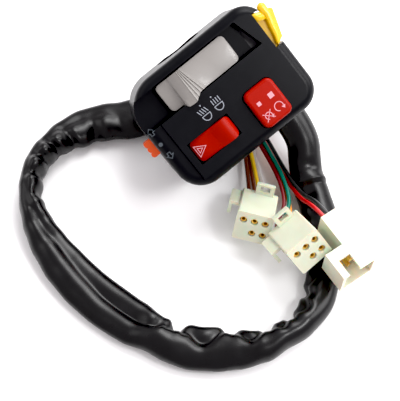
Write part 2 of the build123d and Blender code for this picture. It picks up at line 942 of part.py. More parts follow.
def make_kill_button():
    """Red square cap, hollow below for the return spring, on its plunger."""
    with BuildPart() as kill_button_cap:
        with BuildSketch(Plane.XY.offset(kill_base)):
            with Locations((kill_x, kill_y)):
                RectangleRounded(kill_width, kill_height, kill_corner)
        extrude(amount=kill_top - kill_base)
        fillet(kill_button_cap.faces().sort_by(Axis.Z)[-1].edges(), radius=kill_bevel)
        post(kill_x, kill_y, kill_base, kill_base + spring_headroom, plunger_bore, mode=Mode.SUBTRACT)
    keep(kill_button_cap, "kill_button_cap")
    with BuildPart() as kill_plunger:
        post(kill_x, kill_y, kill_base - plunger_length, kill_base, plunger_radius)
        post(kill_x, kill_y, kill_base - plunger_length, kill_base, plunger_bore, mode=Mode.SUBTRACT)
    keep(kill_plunger, "kill_plunger")
    strip_top = kill_base - plunger_length
    with BuildPart() as kill_contact_bridge:
        block(
            kill_x - kill_strip_length / 2,
            kill_x + kill_strip_length / 2,
            kill_y - kill_strip_width / 2,
            kill_y + kill_strip_width / 2,
            strip_top - strip_thickness,
            strip_top,
        )
        post(kill_x, kill_y, strip_top - strip_thickness, strip_top, plunger_radius)
        post(kill_x, kill_y, strip_top - strip_thickness, strip_top, plunger_bore, mode=Mode.SUBTRACT)
    keep(kill_contact_bridge, "kill_contact_bridge")
    floor_z = deck_z + kill_body_floor
    with BuildPart() as kill_return_spring:
        coil(
            (kill_x, kill_y, floor_z),
            (0, 0, 1),
            kill_base + spring_headroom - floor_z,
            plunger_bore - running_gap,
            kill_spring_wire / 2,
            kill_spring_turns,
        )
    keep(kill_return_spring, "kill_return_spring")


def make_kill_switch():
    """Switch body on the saddle's deck, under the button, and its two terminals."""
    floor_z = deck_z + kill_body_floor
    half_width = kill_body_width / 2
    half_height = kill_body_height / 2
    blade_y = saddle_side + running_gap
    blade_low = deck_z - blade_length
    blade_x = kill_strip_length / 2 - blade_width / 2
    with BuildPart() as kill_switch_body:
        block(
            kill_x - half_width,
            kill_x + half_width,
            kill_y - half_height,
            kill_y + half_height,
            deck_z,
            kill_body_top,
        )
        block(
            kill_x - half_width + kill_body_wall,
            kill_x + half_width - kill_body_wall,
            kill_y - half_height + kill_body_wall,
            kill_y + half_height - kill_body_wall,
            floor_z,
            kill_body_top,
            mode=Mode.SUBTRACT,
        )
        for side in (-1, 1):
            x = kill_x + side * blade_x
            block(
                x - blade_width / 2,
                x + blade_width / 2,
                blade_y,
                blade_y + blade_thickness,
                deck_z,
                floor_z,
                mode=Mode.SUBTRACT,
            )
    keep(kill_switch_body, "kill_switch_body")
    with BuildPart() as kill_terminals:
        for side in (-1, 1):
            x = kill_x + side * blade_x
            block(
                x - blade_width / 2,
                x + blade_width / 2,
                kill_y - kill_strip_width / 2,
                blade_y + blade_thickness,
                floor_z,
                floor_z + strip_thickness,
            )
            block(
                x - blade_width / 2,
                x + blade_width / 2,
                blade_y,
                blade_y + blade_thickness,
                blade_low,
                floor_z,
            )
    keep(kill_terminals, "kill_terminals")


# Hazard rocker


def make_hazard_rocker():
    """Red rocker: a low end with the warning triangle, a crease and a high crowned end."""
    with BuildPart() as hazard_rocker:
        left = rocker_x - rocker_width / 2
        with BuildSketch(Plane.YZ.offset(left)):
            with Locations((rocker_y, rocker_pivot_z)):
                Circle(rocker_radius)
            with BuildLine():
                Polyline(
                    (rocker_y - rocker_radius, rocker_pivot_z - rocker_under),
                    (rocker_y + rocker_radius, rocker_pivot_z - rocker_under),
                    (rocker_y + rocker_radius, rocker_pivot_z + rocker_high - rocker_round),
                    (rocker_y + rocker_radius / 2, rocker_pivot_z + rocker_crown),
                    (rocker_y + rocker_radius * rocker_crease_share, rocker_pivot_z + rocker_crease),
                    (rocker_y - rocker_radius, rocker_pivot_z + rocker_low),
                    close=True,
                )
            make_face(mode=Mode.INTERSECT)
        extrude(amount=rocker_width)
        with BuildSketch(Plane.XY.offset(rocker_pivot_z - rocker_radius)) as plan:
            with Locations((rocker_x, rocker_y)):
                RectangleRounded(rocker_width, 2 * rocker_radius, rocker_corner)
        extrude(plan.sketch, amount=2 * rocker_radius, mode=Mode.INTERSECT)
        bar_rod(left, left + rocker_width, rocker_y, rocker_pivot_z, pivot_radius + pin_clearance, Mode.SUBTRACT)
        socket_top = rocker_pivot_z - pivot_radius - wall / 2
        post(
            rocker_x,
            rocker_y,
            rocker_pivot_z - rocker_under,
            socket_top,
            plunger_pin_radius + pin_clearance,
            mode=Mode.SUBTRACT,
        )
    keep(hazard_rocker, "hazard_rocker")


def make_hazard_inner_parts():
    """Pivot pin, plunger and its spring, seesaw contact, cradle and terminals of the rocker."""
    floor_z = deck_z + cradle_floor
    ear_reach = rocker_width / 2 + rocker_gap + cradle_wall
    with BuildPart() as hazard_pivot_pin:
        bar_rod(rocker_x - ear_reach, rocker_x + ear_reach, rocker_y, rocker_pivot_z, pivot_radius)
    keep(hazard_pivot_pin, "hazard_pivot_pin")
    tip_z = rocker_pivot_z - plunger_pin_reach
    socket_top = rocker_pivot_z - pivot_radius - wall / 2
    pin_top = socket_top - plunger_pin_radius
    with BuildPart() as hazard_plunger:
        post(rocker_x, rocker_y, tip_z, pin_top, plunger_pin_radius)
        fillet(hazard_plunger.faces().sort_by(Axis.Z)[0].edges(), radius=plunger_pin_radius / 2)
    keep(hazard_plunger, "hazard_plunger")
    with BuildPart() as hazard_plunger_spring:
        coil(
            (rocker_x, rocker_y, pin_top),
            (0, 0, 1),
            socket_top - pin_top,
            plunger_pin_radius,
            rocker_spring_wire / 2,
            rocker_spring_turns,
        )
    keep(hazard_plunger_spring, "hazard_plunger_spring")
    seesaw_z = tip_z - running_gap - strip_thickness
    tilted = Plane(origin=(rocker_x, rocker_y, seesaw_z)).rotated((-seesaw_tilt, 0, 0))
    with BuildPart() as hazard_seesaw_contact:
        with BuildSketch(tilted):
            Rectangle(seesaw_width, seesaw_length)
        extrude(amount=strip_thickness)
    keep(hazard_seesaw_contact, "hazard_seesaw_contact")
    with BuildPart() as hazard_base:
        block(
            rocker_x - ear_reach,
            rocker_x + ear_reach,
            rocker_y - cradle_length / 2,
            rocker_y + cradle_length / 2,
            deck_z,
            floor_z,
        )
        for side in (-1, 1):
            inner = rocker_x + side * (ear_reach - cradle_wall)
            outer = rocker_x + side * ear_reach
            block(
                min(inner, outer),
                max(inner, outer),
                rocker_y - cradle_ear_length / 2,
                rocker_y + cradle_ear_length / 2,
                floor_z,
                cradle_top,
            )
        bar_rod(
            rocker_x - ear_reach,
            rocker_x + ear_reach,
            rocker_y,
            rocker_pivot_z,
            pivot_radius,
            mode=Mode.SUBTRACT,
        )
    keep(hazard_base, "hazard_base")
    end_drop = seesaw_length / 2 * math.sin(math.radians(seesaw_tilt))
    end_y = seesaw_length / 2 - post_width / 2
    with BuildPart() as hazard_terminals:
        for step, drop in ((-1, end_drop), (0, 0), (1, end_drop)):
            y = rocker_y + step * end_y
            block(
                rocker_x - post_width / 2,
                rocker_x + post_width / 2,
                y - post_width / 2,
                y + post_width / 2,
                floor_z,
                seesaw_z - drop - running_gap,
            )
    keep(hazard_terminals, "hazard_terminals")


# Horn lever


def horn_underside(x):
    """Place across the edge of the horn plate's inner face, at a place along the bar."""
    slope = (horn_root_y - horn_tip_y) / (horn_root_x - horn_tip_x)
    return horn_tip_y + slope * (x - horn_tip_x) - horn_plate * math.hypot(1, slope)


def make_horn_lever():
    """Yellow lever: sloping plate with two cheeks and an end wall, hollow behind, and its hub."""
    with BuildPart() as horn_lever:
        with BuildSketch(Plane.XY.offset(horn_low_z)):
            with BuildLine():
                Polyline(
                    (horn_tip_x, horn_tip_y),
                    (horn_root_x, horn_root_y),
                    (horn_heel_x, horn_heel_y),
                    (horn_pivot_x, horn_pivot_y + horn_hub),
                    (horn_pivot_x, horn_pivot_y),
                    (horn_knee_x, horn_knee_y),
                    (horn_tip_x, horn_skirt_y),
                    close=True,
                )
            make_face()
            with Locations((horn_pivot_x, horn_pivot_y)):
                Circle(horn_hub)
        extrude(amount=horn_span)
        with BuildSketch(Plane.XY.offset(horn_high_z)):
            with BuildLine():
                Polyline(
                    (horn_tip_x, horn_tip_y),
                    (horn_root_x, horn_root_y),
                    (horn_heel_x, horn_heel_y),
                    (horn_root_x, horn_underside(horn_root_x)),
                    (horn_tip_x, horn_underside(horn_tip_x)),
                    close=True,
                )
            make_face()
        extrude(amount=horn_plate_top - horn_high_z)
        tip_edge = horn_lever.edges().filter_by(Axis.Z).sort_by(Axis.Y)[-1]
        fillet(tip_edge, radius=horn_tip_round)
        with BuildSketch(Plane.XY.offset(horn_low_z + horn_side)):
            with BuildLine():
                Polyline(
                    (horn_tip_x + horn_side, horn_underside(horn_tip_x + horn_side)),
                    (horn_knee_x - horn_side, horn_underside(horn_knee_x - horn_side)),
                    (horn_knee_x - horn_side, horn_knee_y - horn_hub),
                    (horn_tip_x + horn_side, horn_knee_y - horn_hub),
                    close=True,
                )
            make_face()
        extrude(amount=horn_span - 2 * horn_side, mode=Mode.SUBTRACT)
        bore = horn_pin_radius + pin_clearance
        post(horn_pivot_x, horn_pivot_y, horn_low_z, horn_high_z, bore, mode=Mode.SUBTRACT)
    keep(horn_lever, "horn_lever")
    with BuildPart() as horn_pivot_pin:
        post(horn_pivot_x, horn_pivot_y, pin_foot, pin_head, horn_pin_radius)
    keep(horn_pivot_pin, "horn_pivot_pin")


def make_horn_inner_parts():
    """Contact block, return spring, moving stud and fixed rivet behind the horn lever."""
    stud_x = (horn_stud_left + horn_stud_right) / 2
    stud_z = horn_stud_low + horn_stud_width / 2
    travel = math.radians(horn_swing) * (horn_pivot_x - horn_stud_left)
    with BuildPart() as horn_contact_block:
        block(
            horn_block_left,
            horn_block_right,
            horn_block_foot,
            horn_block_head,
            horn_block_low,
            trough_underside,
        )
    keep(horn_contact_block, "horn_contact_block")
    with BuildPart() as horn_return_spring:
        coil(
            (horn_spring_x, horn_block_head, horn_spring_z),
            (0, 1, 0),
            horn_underside(horn_spring_x + horn_spring_radius) - horn_block_head - pin_clearance,
            horn_spring_radius,
            horn_spring_wire / 2,
            horn_spring_turns,
        )
    keep(horn_return_spring, "horn_return_spring")
    with BuildPart() as horn_contact_stud:
        with BuildSketch(Plane.XY.offset(horn_stud_low)):
            with BuildLine():
                Polyline(
                    (horn_stud_left, horn_stud_tip),
                    (horn_stud_right, horn_stud_tip),
                    (horn_stud_right, horn_underside(horn_stud_right)),
                    (horn_stud_left, horn_underside(horn_stud_left)),
                    close=True,
                )
            make_face()
        extrude(amount=horn_stud_width)
    keep(horn_contact_stud, "horn_contact_stud")
    with BuildPart() as horn_fixed_contact:
        edge_rod(stud_x, horn_block_head, horn_stud_tip - travel - running_gap, stud_z, horn_rivet_radius)
    keep(horn_fixed_contact, "horn_fixed_contact")


# Turn-signal slider


def make_turn_knob():
    """Orange knob with rounded finger lobes, and its neck through the side wall."""
    with BuildPart() as turn_knob:
        lobe = knob_width / knob_lobes / 2
        face_y = -edge_y - knob_proud
        with BuildSketch(Plane.XY.offset(knob_low_z)):
            with Locations((knob_x, (face_y + lobe + turn_plate_outer()) / 2)):
                Rectangle(knob_width, turn_plate_outer() - face_y - lobe)
            for index in range(knob_lobes):
                x = knob_x - knob_width / 2 + lobe * (2 * index + 1)
                with Locations((x, face_y + lobe)):
                    Circle(lobe)
        extrude(amount=knob_tall)
    keep(turn_knob, "turn_knob")


def turn_plate_outer():
    """Outer face of the turn carrier's plate."""
    return -inner_y + turn_plate_gap


def make_turn_carrier():
    """Carrier inside the side wall: plate behind the slot, block with the contact and the detent pocket."""
    plate_inner = turn_plate_outer() + turn_plate_thickness
    block_inner = turn_strip_face() - strip_thickness - running_gap
    block_low = knob_low_z + knob_tall / 2 - turn_block_tall / 2
    with BuildPart() as turn_carrier:
        block(
            knob_x - turn_plate_length / 2,
            knob_x + turn_plate_length / 2,
            turn_plate_outer(),
            plate_inner,
            turn_plate_low,
            turn_plate_high,
        )
        block(
            knob_x - turn_block_length / 2,
            knob_x + turn_block_length / 2,
            plate_inner,
            block_inner,
            block_low,
            block_low + turn_block_tall,
        )
        block(
            knob_x - turn_strip_length / 2 - running_gap,
            knob_x + turn_strip_length / 2 + running_gap,
            plate_inner,
            block_inner,
            block_low + (turn_block_tall - turn_strip_width) / 2 - running_gap,
            block_low + (turn_block_tall + turn_strip_width) / 2 + running_gap,
            mode=Mode.SUBTRACT,
        )
        edge_rod(turn_ball_x, plate_inner, plate_inner + turn_ball_radius, turn_ball_z, turn_ball_radius + wall / 2)
        pocket_end = plate_inner + turn_ball_radius / 2
        edge_rod(
            turn_ball_x,
            turn_plate_outer(),
            pocket_end,
            turn_ball_z,
            turn_ball_radius + pin_clearance,
            mode=Mode.SUBTRACT,
        )
    keep(turn_carrier, "turn_carrier")


def turn_strip_face():
    """Face of the turn bridge contact that meets the pads on the board."""
    return turn_board_face - pad_height - sliding_gap - contact_bump


def make_turn_inner_parts():
    """Bridge contact, contact spring, detent ball and detent spring of the turn slider."""
    centre_z = knob_low_z + knob_tall / 2
    strip_face = turn_strip_face()
    plate_inner = turn_plate_outer() + turn_plate_thickness
    with BuildPart() as turn_bridge_contact:
        block(
            knob_x - turn_strip_length / 2,
            knob_x + turn_strip_length / 2,
            strip_face - strip_thickness,
            strip_face,
            centre_z - turn_strip_width / 2,
            centre_z + turn_strip_width / 2,
        )
        for side in (-1, 1):
            x = knob_x + side * (turn_strip_length - turn_strip_width) / 2
            edge_rod(x, strip_face, strip_face + contact_bump, centre_z, turn_strip_width / 3)
    keep(turn_bridge_contact, "turn_bridge_contact")
    with BuildPart() as turn_contact_spring:
        coil(
            (knob_x, plate_inner, centre_z),
            (0, 1, 0),
            strip_face - strip_thickness - plate_inner,
            turn_strip_width / 2,
            detent_wire,
            detent_turns,
        )
    keep(turn_contact_spring, "turn_contact_spring")
    ball_y_place = turn_plate_outer() - turn_plate_gap + turn_ball_radius
    with BuildPart() as turn_detent_ball:
        with Locations((turn_ball_x, ball_y_place, turn_ball_z)):
            Sphere(turn_ball_radius)
    keep(turn_detent_ball, "turn_detent_ball")
    spring_start = ball_y_place + turn_ball_radius
    spring_end = plate_inner + turn_ball_radius / 2
    with BuildPart() as turn_detent_spring:
        coil(
            (turn_ball_x, spring_start, turn_ball_z),
            (0, 1, 0),
            spring_end - spring_start,
            turn_ball_radius - pin_clearance,
            detent_wire / 2,
            turn_detent_turns,
        )
    keep(turn_detent_spring, "turn_detent_spring")


def make_turn_board():
    """Contact board across the housing, its three pads and two screws."""
    centre_z = knob_low_z + knob_tall / 2
    board_back = turn_board_face + board_thickness
    with BuildPart() as turn_contact_board:
        block(
            knob_x - turn_board_length / 2,
            knob_x + turn_board_length / 2,
            turn_board_face,
            board_back,
            turn_board_low,
            turn_board_high,
        )
        for side in (-1, 1):
            x = knob_x + side * turn_boss_spread
            edge_rod(x, turn_board_face, board_back, turn_boss_z, small_shank + pin_clearance, Mode.SUBTRACT)
    keep(turn_contact_board, "turn_contact_board")
    with BuildPart() as turn_fixed_contacts:
        for step in (-1, 0, 1):
            x = knob_x + step * turn_pad_pitch
            block(
                x - turn_pad_width / 2,
                x + turn_pad_width / 2,
                turn_board_face - pad_height,
                turn_board_face,
                centre_z - turn_pad_width / 2,
                turn_board_high,
            )
    keep(turn_fixed_contacts, "turn_fixed_contacts")
    with BuildPart() as turn_board_screws:
        for side in (-1, 1):
            x = knob_x + side * turn_boss_spread
            shank_end = turn_board_face - board_screw_bite + running_gap
            edge_rod(x, shank_end, board_back, turn_boss_z, small_shank)
            edge_rod(x, board_back, board_back + small_head_height, turn_boss_z, small_head)
    keep(turn_board_screws, "turn_board_screws")


# Harness grommet


def make_harness_grommet():
    """Rubber grommet that seals the harness where it leaves the end wall."""
    with BuildPart() as harness_grommet:
        bar_rod(inner_right - gland_flange_thickness, right_x, gland_y, 0, gland_hole - pin_clearance)
        bar_rod(right_x, right_x + gland_flange_thickness, gland_y, 0, gland_flange)
        lip_x = inner_right - running_gap
        bar_rod(lip_x - gland_flange_thickness, lip_x, gland_y, 0, gland_inner_flange)
    keep(harness_grommet, "harness_grommet")


make_front_shell()
make_rear_shell()
make_bar_saddle()
make_housing_screws()
make_beam_slider()
make_beam_carrier()
make_beam_inner_parts()
make_beam_board()
make_kill_button()
make_kill_switch()
make_hazard_rocker()
make_hazard_inner_parts()
make_horn_lever()
make_horn_inner_parts()
make_turn_knob()
make_turn_carrier()
make_turn_inner_parts()
make_turn_board()
make_harness_grommet()

# Laying the housing down: turn it to its pose, then stand its lowest point on the table
bar_direction = Vector(1, 0, 0).rotate(Axis.Y, bar_dip).rotate(Axis.Z, bar_yaw)
face_direction = Vector(0, 0, 1).rotate(Axis.X, face_roll).rotate(Axis.Y, bar_dip).rotate(Axis.Z, bar_yaw)
turned = Plane(origin=(0, 0, 0), x_dir=bar_direction, z_dir=face_direction).location
laid_box = Compound(children=[turned * piece for piece in pieces]).bounding_box()
box_centre = laid_box.center()
bar_centre = Vector(-box_centre.X, -box_centre.Y, -laid_box.min.Z)
housing_pose = Plane(origin=bar_centre, x_dir=bar_direction, z_dir=face_direction).location
laid = []
for piece in pieces:
    placed = housing_pose * piece
    placed.label = piece.label
    laid.append(placed)

# Harness: sleeve, connectors and wires, drawn where they lie on the table


def table_place(x, y, z):
    """A place given from the bar centre's foot point on the table."""
    return Vector(bar_centre.X + x, bar_centre.Y + y, z)


def keep_cord(points, radius, label):
    """Sweep a round cord along straight runs joined by arcs, and list it."""
    radii = []
    for before, corner, after in zip(points, points[1:], points[2:]):
        first = corner - before
        second = after - corner
        turn = math.radians(first.get_angle(second))
        radii.append(bend_share * min(first.length, second.length) / math.tan(turn / 2))
    with BuildPart() as cord:
        with BuildLine() as spine:
            FilletPolyline(*points, radius=radii)
        with BuildSketch(Plane(origin=points[0], z_dir=points[1] - points[0])) as section:
            Circle(radius)
        sweep(section.sketch, path=spine.line, is_frenet=True)
    cord.part.label = label
    laid.append(cord.part)
    length = sum(edge.length for edge in spine.edges())
    filled = cord.part.volume / (math.pi * radius**2 * length)
    print(label, "tightest", round(min(radii), 1), "length", round(length, 1), "filled", round(filled, 3))


def make_sleeve():
    """Limp sleeve from the grommet round its loop to its open end under the housing; gives its last run."""
    mouth = (housing_pose * Pos(right_x + gland_flange_thickness, gland_y, 0)).position
    points = [mouth, mouth + bar_direction * sleeve_exit_run, table_place(*sleeve_drop)]
    for x, y in sleeve_loop:
        points.append(table_place(x, y, sleeve_height))
    keep_cord(points, sleeve_diameter / 2, "harness_sleeve")
    return points[-1], (points[-1] - points[-2]).normalized()


def plug_holes(solid_top):
    """Cut the five terminal holes along the connector's own X, inside a part."""
    for y, z in hole_spots:
        bar_rod(-plug_length - cut_overrun, solid_top, y, z, hole_radius, mode=Mode.SUBTRACT)


def make_plug(label, pose):
    """Five-way connector with latch tab and side wing, and its five tube terminals."""
    half_width = plug_width / 2
    half_height = plug_height / 2
    with BuildPart() as plug:
        block(-plug_length, 0, -half_width, half_width, -half_height, half_height)
        fillet(plug.edges().filter_by(Axis.X), radius=plug_round)
        tab_low = tab_middle - tab_width / 2
        tab_end = -plug_length + tab_thickness
        tab_top = half_height + tab_height
        block(-plug_length, tab_end, tab_low, tab_low + tab_width, half_height - plug_round, tab_top)
        window_low = tab_middle - window_width / 2
        window_top = tab_top - plug_round
        block(
            -plug_length,
            tab_end,
            window_low,
            window_low + window_width,
            window_top - window_height,
            window_top,
            mode=Mode.SUBTRACT,
        )
        wing_side = -half_width - wing_reach
        wing_end = -plug_length + wing_length
        block(-plug_length, wing_end, wing_side, -half_width + plug_round, wing_top - wing_wall, wing_top)
        block(-plug_length, wing_end, wing_side, wing_side + wing_wall, wing_low, wing_top)
        plug_holes(0)
    plug.part.label = f"connector_{label}"
    with BuildPart() as terminals:
        for y, z in hole_spots:
            terminal_start = -terminal_recess - terminal_length
            bar_rod(terminal_start, -terminal_recess, y, z, terminal_radius)
            bar_rod(terminal_start + wall, -terminal_recess, y, z, terminal_bore, mode=Mode.SUBTRACT)
    terminals.part.label = f"terminals_{label}"
    for solid in (plug.part, terminals.part):
        placed = pose * solid
        placed.label = solid.label
        laid.append(placed)


def make_header(label, pose):
    """Mating header: open mouth with a slotted roof, narrower rear, and its five pins."""
    half_width = header_width / 2
    half_height = header_height / 2
    with BuildPart() as header:
        block(-header_front, 0, -half_width, half_width, -half_height, half_height)
        block(-header_length, -header_front, 0, half_width, -half_height, half_height)
        block(
            -header_mouth,
            0,
            -half_width + header_wall,
            half_width - header_wall,
            -half_height + header_wall,
            half_height - header_wall,
            mode=Mode.SUBTRACT,
        )
        block(
            -header_slot_length,
            0,
            -half_width + 2 * header_wall,
            -half_width + 2 * header_wall + header_slot_width,
            0,
            half_height,
            mode=Mode.SUBTRACT,
        )
        for y, z in hole_spots:
            bar_rod(header_pin_start, 0, y, z, header_pin_radius + pin_clearance, mode=Mode.SUBTRACT)
    header.part.label = f"connector_{label}"
    with BuildPart() as pins:
        for y, z in hole_spots:
            pin_low = header_pin_start + running_gap
            bar_rod(pin_low, pin_low + header_pin_length, y, z, header_pin_radius)
    pins.part.label = f"terminals_{label}"
    for solid in (header.part, pins.part):
        placed = pose * solid
        placed.label = solid.label
        laid.append(placed)


def make_wires(sleeve_end, sleeve_heading, ends):
    """Nine wires in two rows from the sleeve's end, past their gates, into the connectors' rears."""
    end_plane = Plane(origin=sleeve_end, x_dir=Vector(0, 0, 1), z_dir=sleeve_heading)
    middle = (len(wire_names) - 1) / 2
    for index, (name, (rear, mating, tail)) in enumerate(zip(wire_names, ends)):
        row = wire_row * (-1) ** index
        aside = (index - middle) * wire_step
        start = end_plane.from_local_coords((row, -aside, 0))
        points = [start, start + sleeve_heading * (wire_lead + aside * wire_mitre)]
        points.append(table_place(*under_gate) + Vector(*gate_across) * aside + Vector(0, 0, row))
        if index >= plug_a_wires:
            beside = (index - plug_a_wires - middle / 2) * side_step
            points.append(table_place(*side_gate) + Vector(*side_across) * beside + Vector(0, 0, row))
        points += [rear - mating * tail, rear]
        keep_cord(points, wire_radius, name)


def plug_pose(front, mating, latch):
    """Location of a connector from where it lies on the table."""
    return Plane(origin=table_place(*front), x_dir=Vector(mating), z_dir=Vector(latch)).location


def wire_ends(pose, rear_x, spots, tail):
    """Rear hole middles of a connector, each with the mating direction and the wire's straight tail."""
    ends = []
    for y, z in spots:
        rear = (pose * Pos(rear_x, y, z)).position
        inside = (pose * Pos(0, y, z)).position
        ends.append((rear, (inside - rear).normalized(), tail))
    return ends


pose_a = plug_pose(plug_a_front, plug_a_mating, plug_a_latch)
pose_b = plug_pose(plug_b_front, plug_b_mating, plug_b_latch)
pose_c = plug_pose(header_front_middle, header_mating, header_latch)
last_point, last_heading = make_sleeve()
make_plug("a", pose_a)
make_plug("b", pose_b)
make_header("c", pose_c)
high_left, high_middle, high_right, low_middle, low_right = hole_spots
rear_spots = wire_ends(pose_a, -plug_length, [high_left, low_middle, high_middle, low_right], plug_a_tail)
plug_a_wires = len(rear_spots)
rear_spots += wire_ends(pose_b, -plug_length, [high_left, low_middle, high_middle], plug_b_tail)
rear_spots += wire_ends(pose_c, -header_length, [low_right, high_right], plug_c_tail)
make_wires(last_point, last_heading, rear_spots)

for piece in laid:
    export_step(piece, f"parts/{piece.label}.step")
print("bar centre", bar_centre, "box", laid_box.size)
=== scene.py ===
"""Handlebar switch cluster with its harness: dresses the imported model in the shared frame.

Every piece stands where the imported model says, in metres, +Z up, on the table that the cluster lies on.
"""

import json
import logging
import math
from dataclasses import dataclass, field
from enum import Enum

import bmesh
import bpy
from mathutils import Matrix, Vector, noise
from mathutils.bvhtree import BVHTree


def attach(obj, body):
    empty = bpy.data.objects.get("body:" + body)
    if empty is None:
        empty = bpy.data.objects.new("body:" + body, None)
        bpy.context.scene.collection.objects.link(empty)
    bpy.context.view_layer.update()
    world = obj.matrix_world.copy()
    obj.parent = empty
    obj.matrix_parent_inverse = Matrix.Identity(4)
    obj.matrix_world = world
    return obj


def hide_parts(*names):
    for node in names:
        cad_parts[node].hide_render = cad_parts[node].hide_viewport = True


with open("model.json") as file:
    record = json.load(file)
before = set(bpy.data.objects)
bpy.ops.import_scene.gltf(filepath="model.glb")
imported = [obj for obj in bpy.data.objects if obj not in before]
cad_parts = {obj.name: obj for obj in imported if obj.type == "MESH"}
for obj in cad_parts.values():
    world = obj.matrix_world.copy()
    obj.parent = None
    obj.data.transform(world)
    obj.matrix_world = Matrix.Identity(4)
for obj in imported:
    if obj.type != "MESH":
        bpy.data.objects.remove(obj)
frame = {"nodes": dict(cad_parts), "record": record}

LOG = logging.getLogger("switch_cluster")

MM = 0.001
Colour = tuple[float, float, float]
Point = tuple[float, float, float]
Flat = tuple[float, float]
Span = tuple[float, float]


class Body(Enum):
    """The rigid bodies that the scene's own pieces ride on."""

    HOUSING = "housing"
    BEAM = "beam_switch"
    STOP = "stop_button"
    HAZARD = "hazard_switch"
    HORN = "horn_lever"


# Placement


@dataclass(frozen=True)
class HousingPose:
    """How the housing lies on the table.

    The centre of the bar is in millimetres. Its heading, its dip and the face's roll are in degrees.
    """

    centre: Point = (-3.76239, 5.56994, 31.1661)
    yaw: float = -45.1
    dip: float = 28.8
    roll: float = 17.2

    def axes(self) -> Matrix:
        """The housing's own axes.

        Returns:
            A matrix whose columns are its X, Y and Z in the table frame.
        """
        turn = Matrix.Rotation(math.radians(self.yaw), 3, "Z")
        turn = turn @ Matrix.Rotation(math.radians(self.dip), 3, "Y")
        return turn @ Matrix.Rotation(math.radians(self.roll), 3, "X")

    def place(self, x: float, y: float, z: float) -> Vector:
        """Table place, in metres, of a point given in millimetres in the housing's own frame.

        Args:
            x: along the bar.
            y: towards the face's upper edge.
            z: out of the face.

        Returns:
            The point in the shared frame.
        """
        return (Vector(self.centre) + self.axes() @ Vector((x, y, z))) * MM

    def table(self, x: float, y: float, z: float) -> Vector:
        """Table place, in metres, of a point in millimetres from the foot point of the bar's centre."""
        return Vector((self.centre[0] + x, self.centre[1] + y, z)) * MM


POSE = HousingPose()


# Finishes


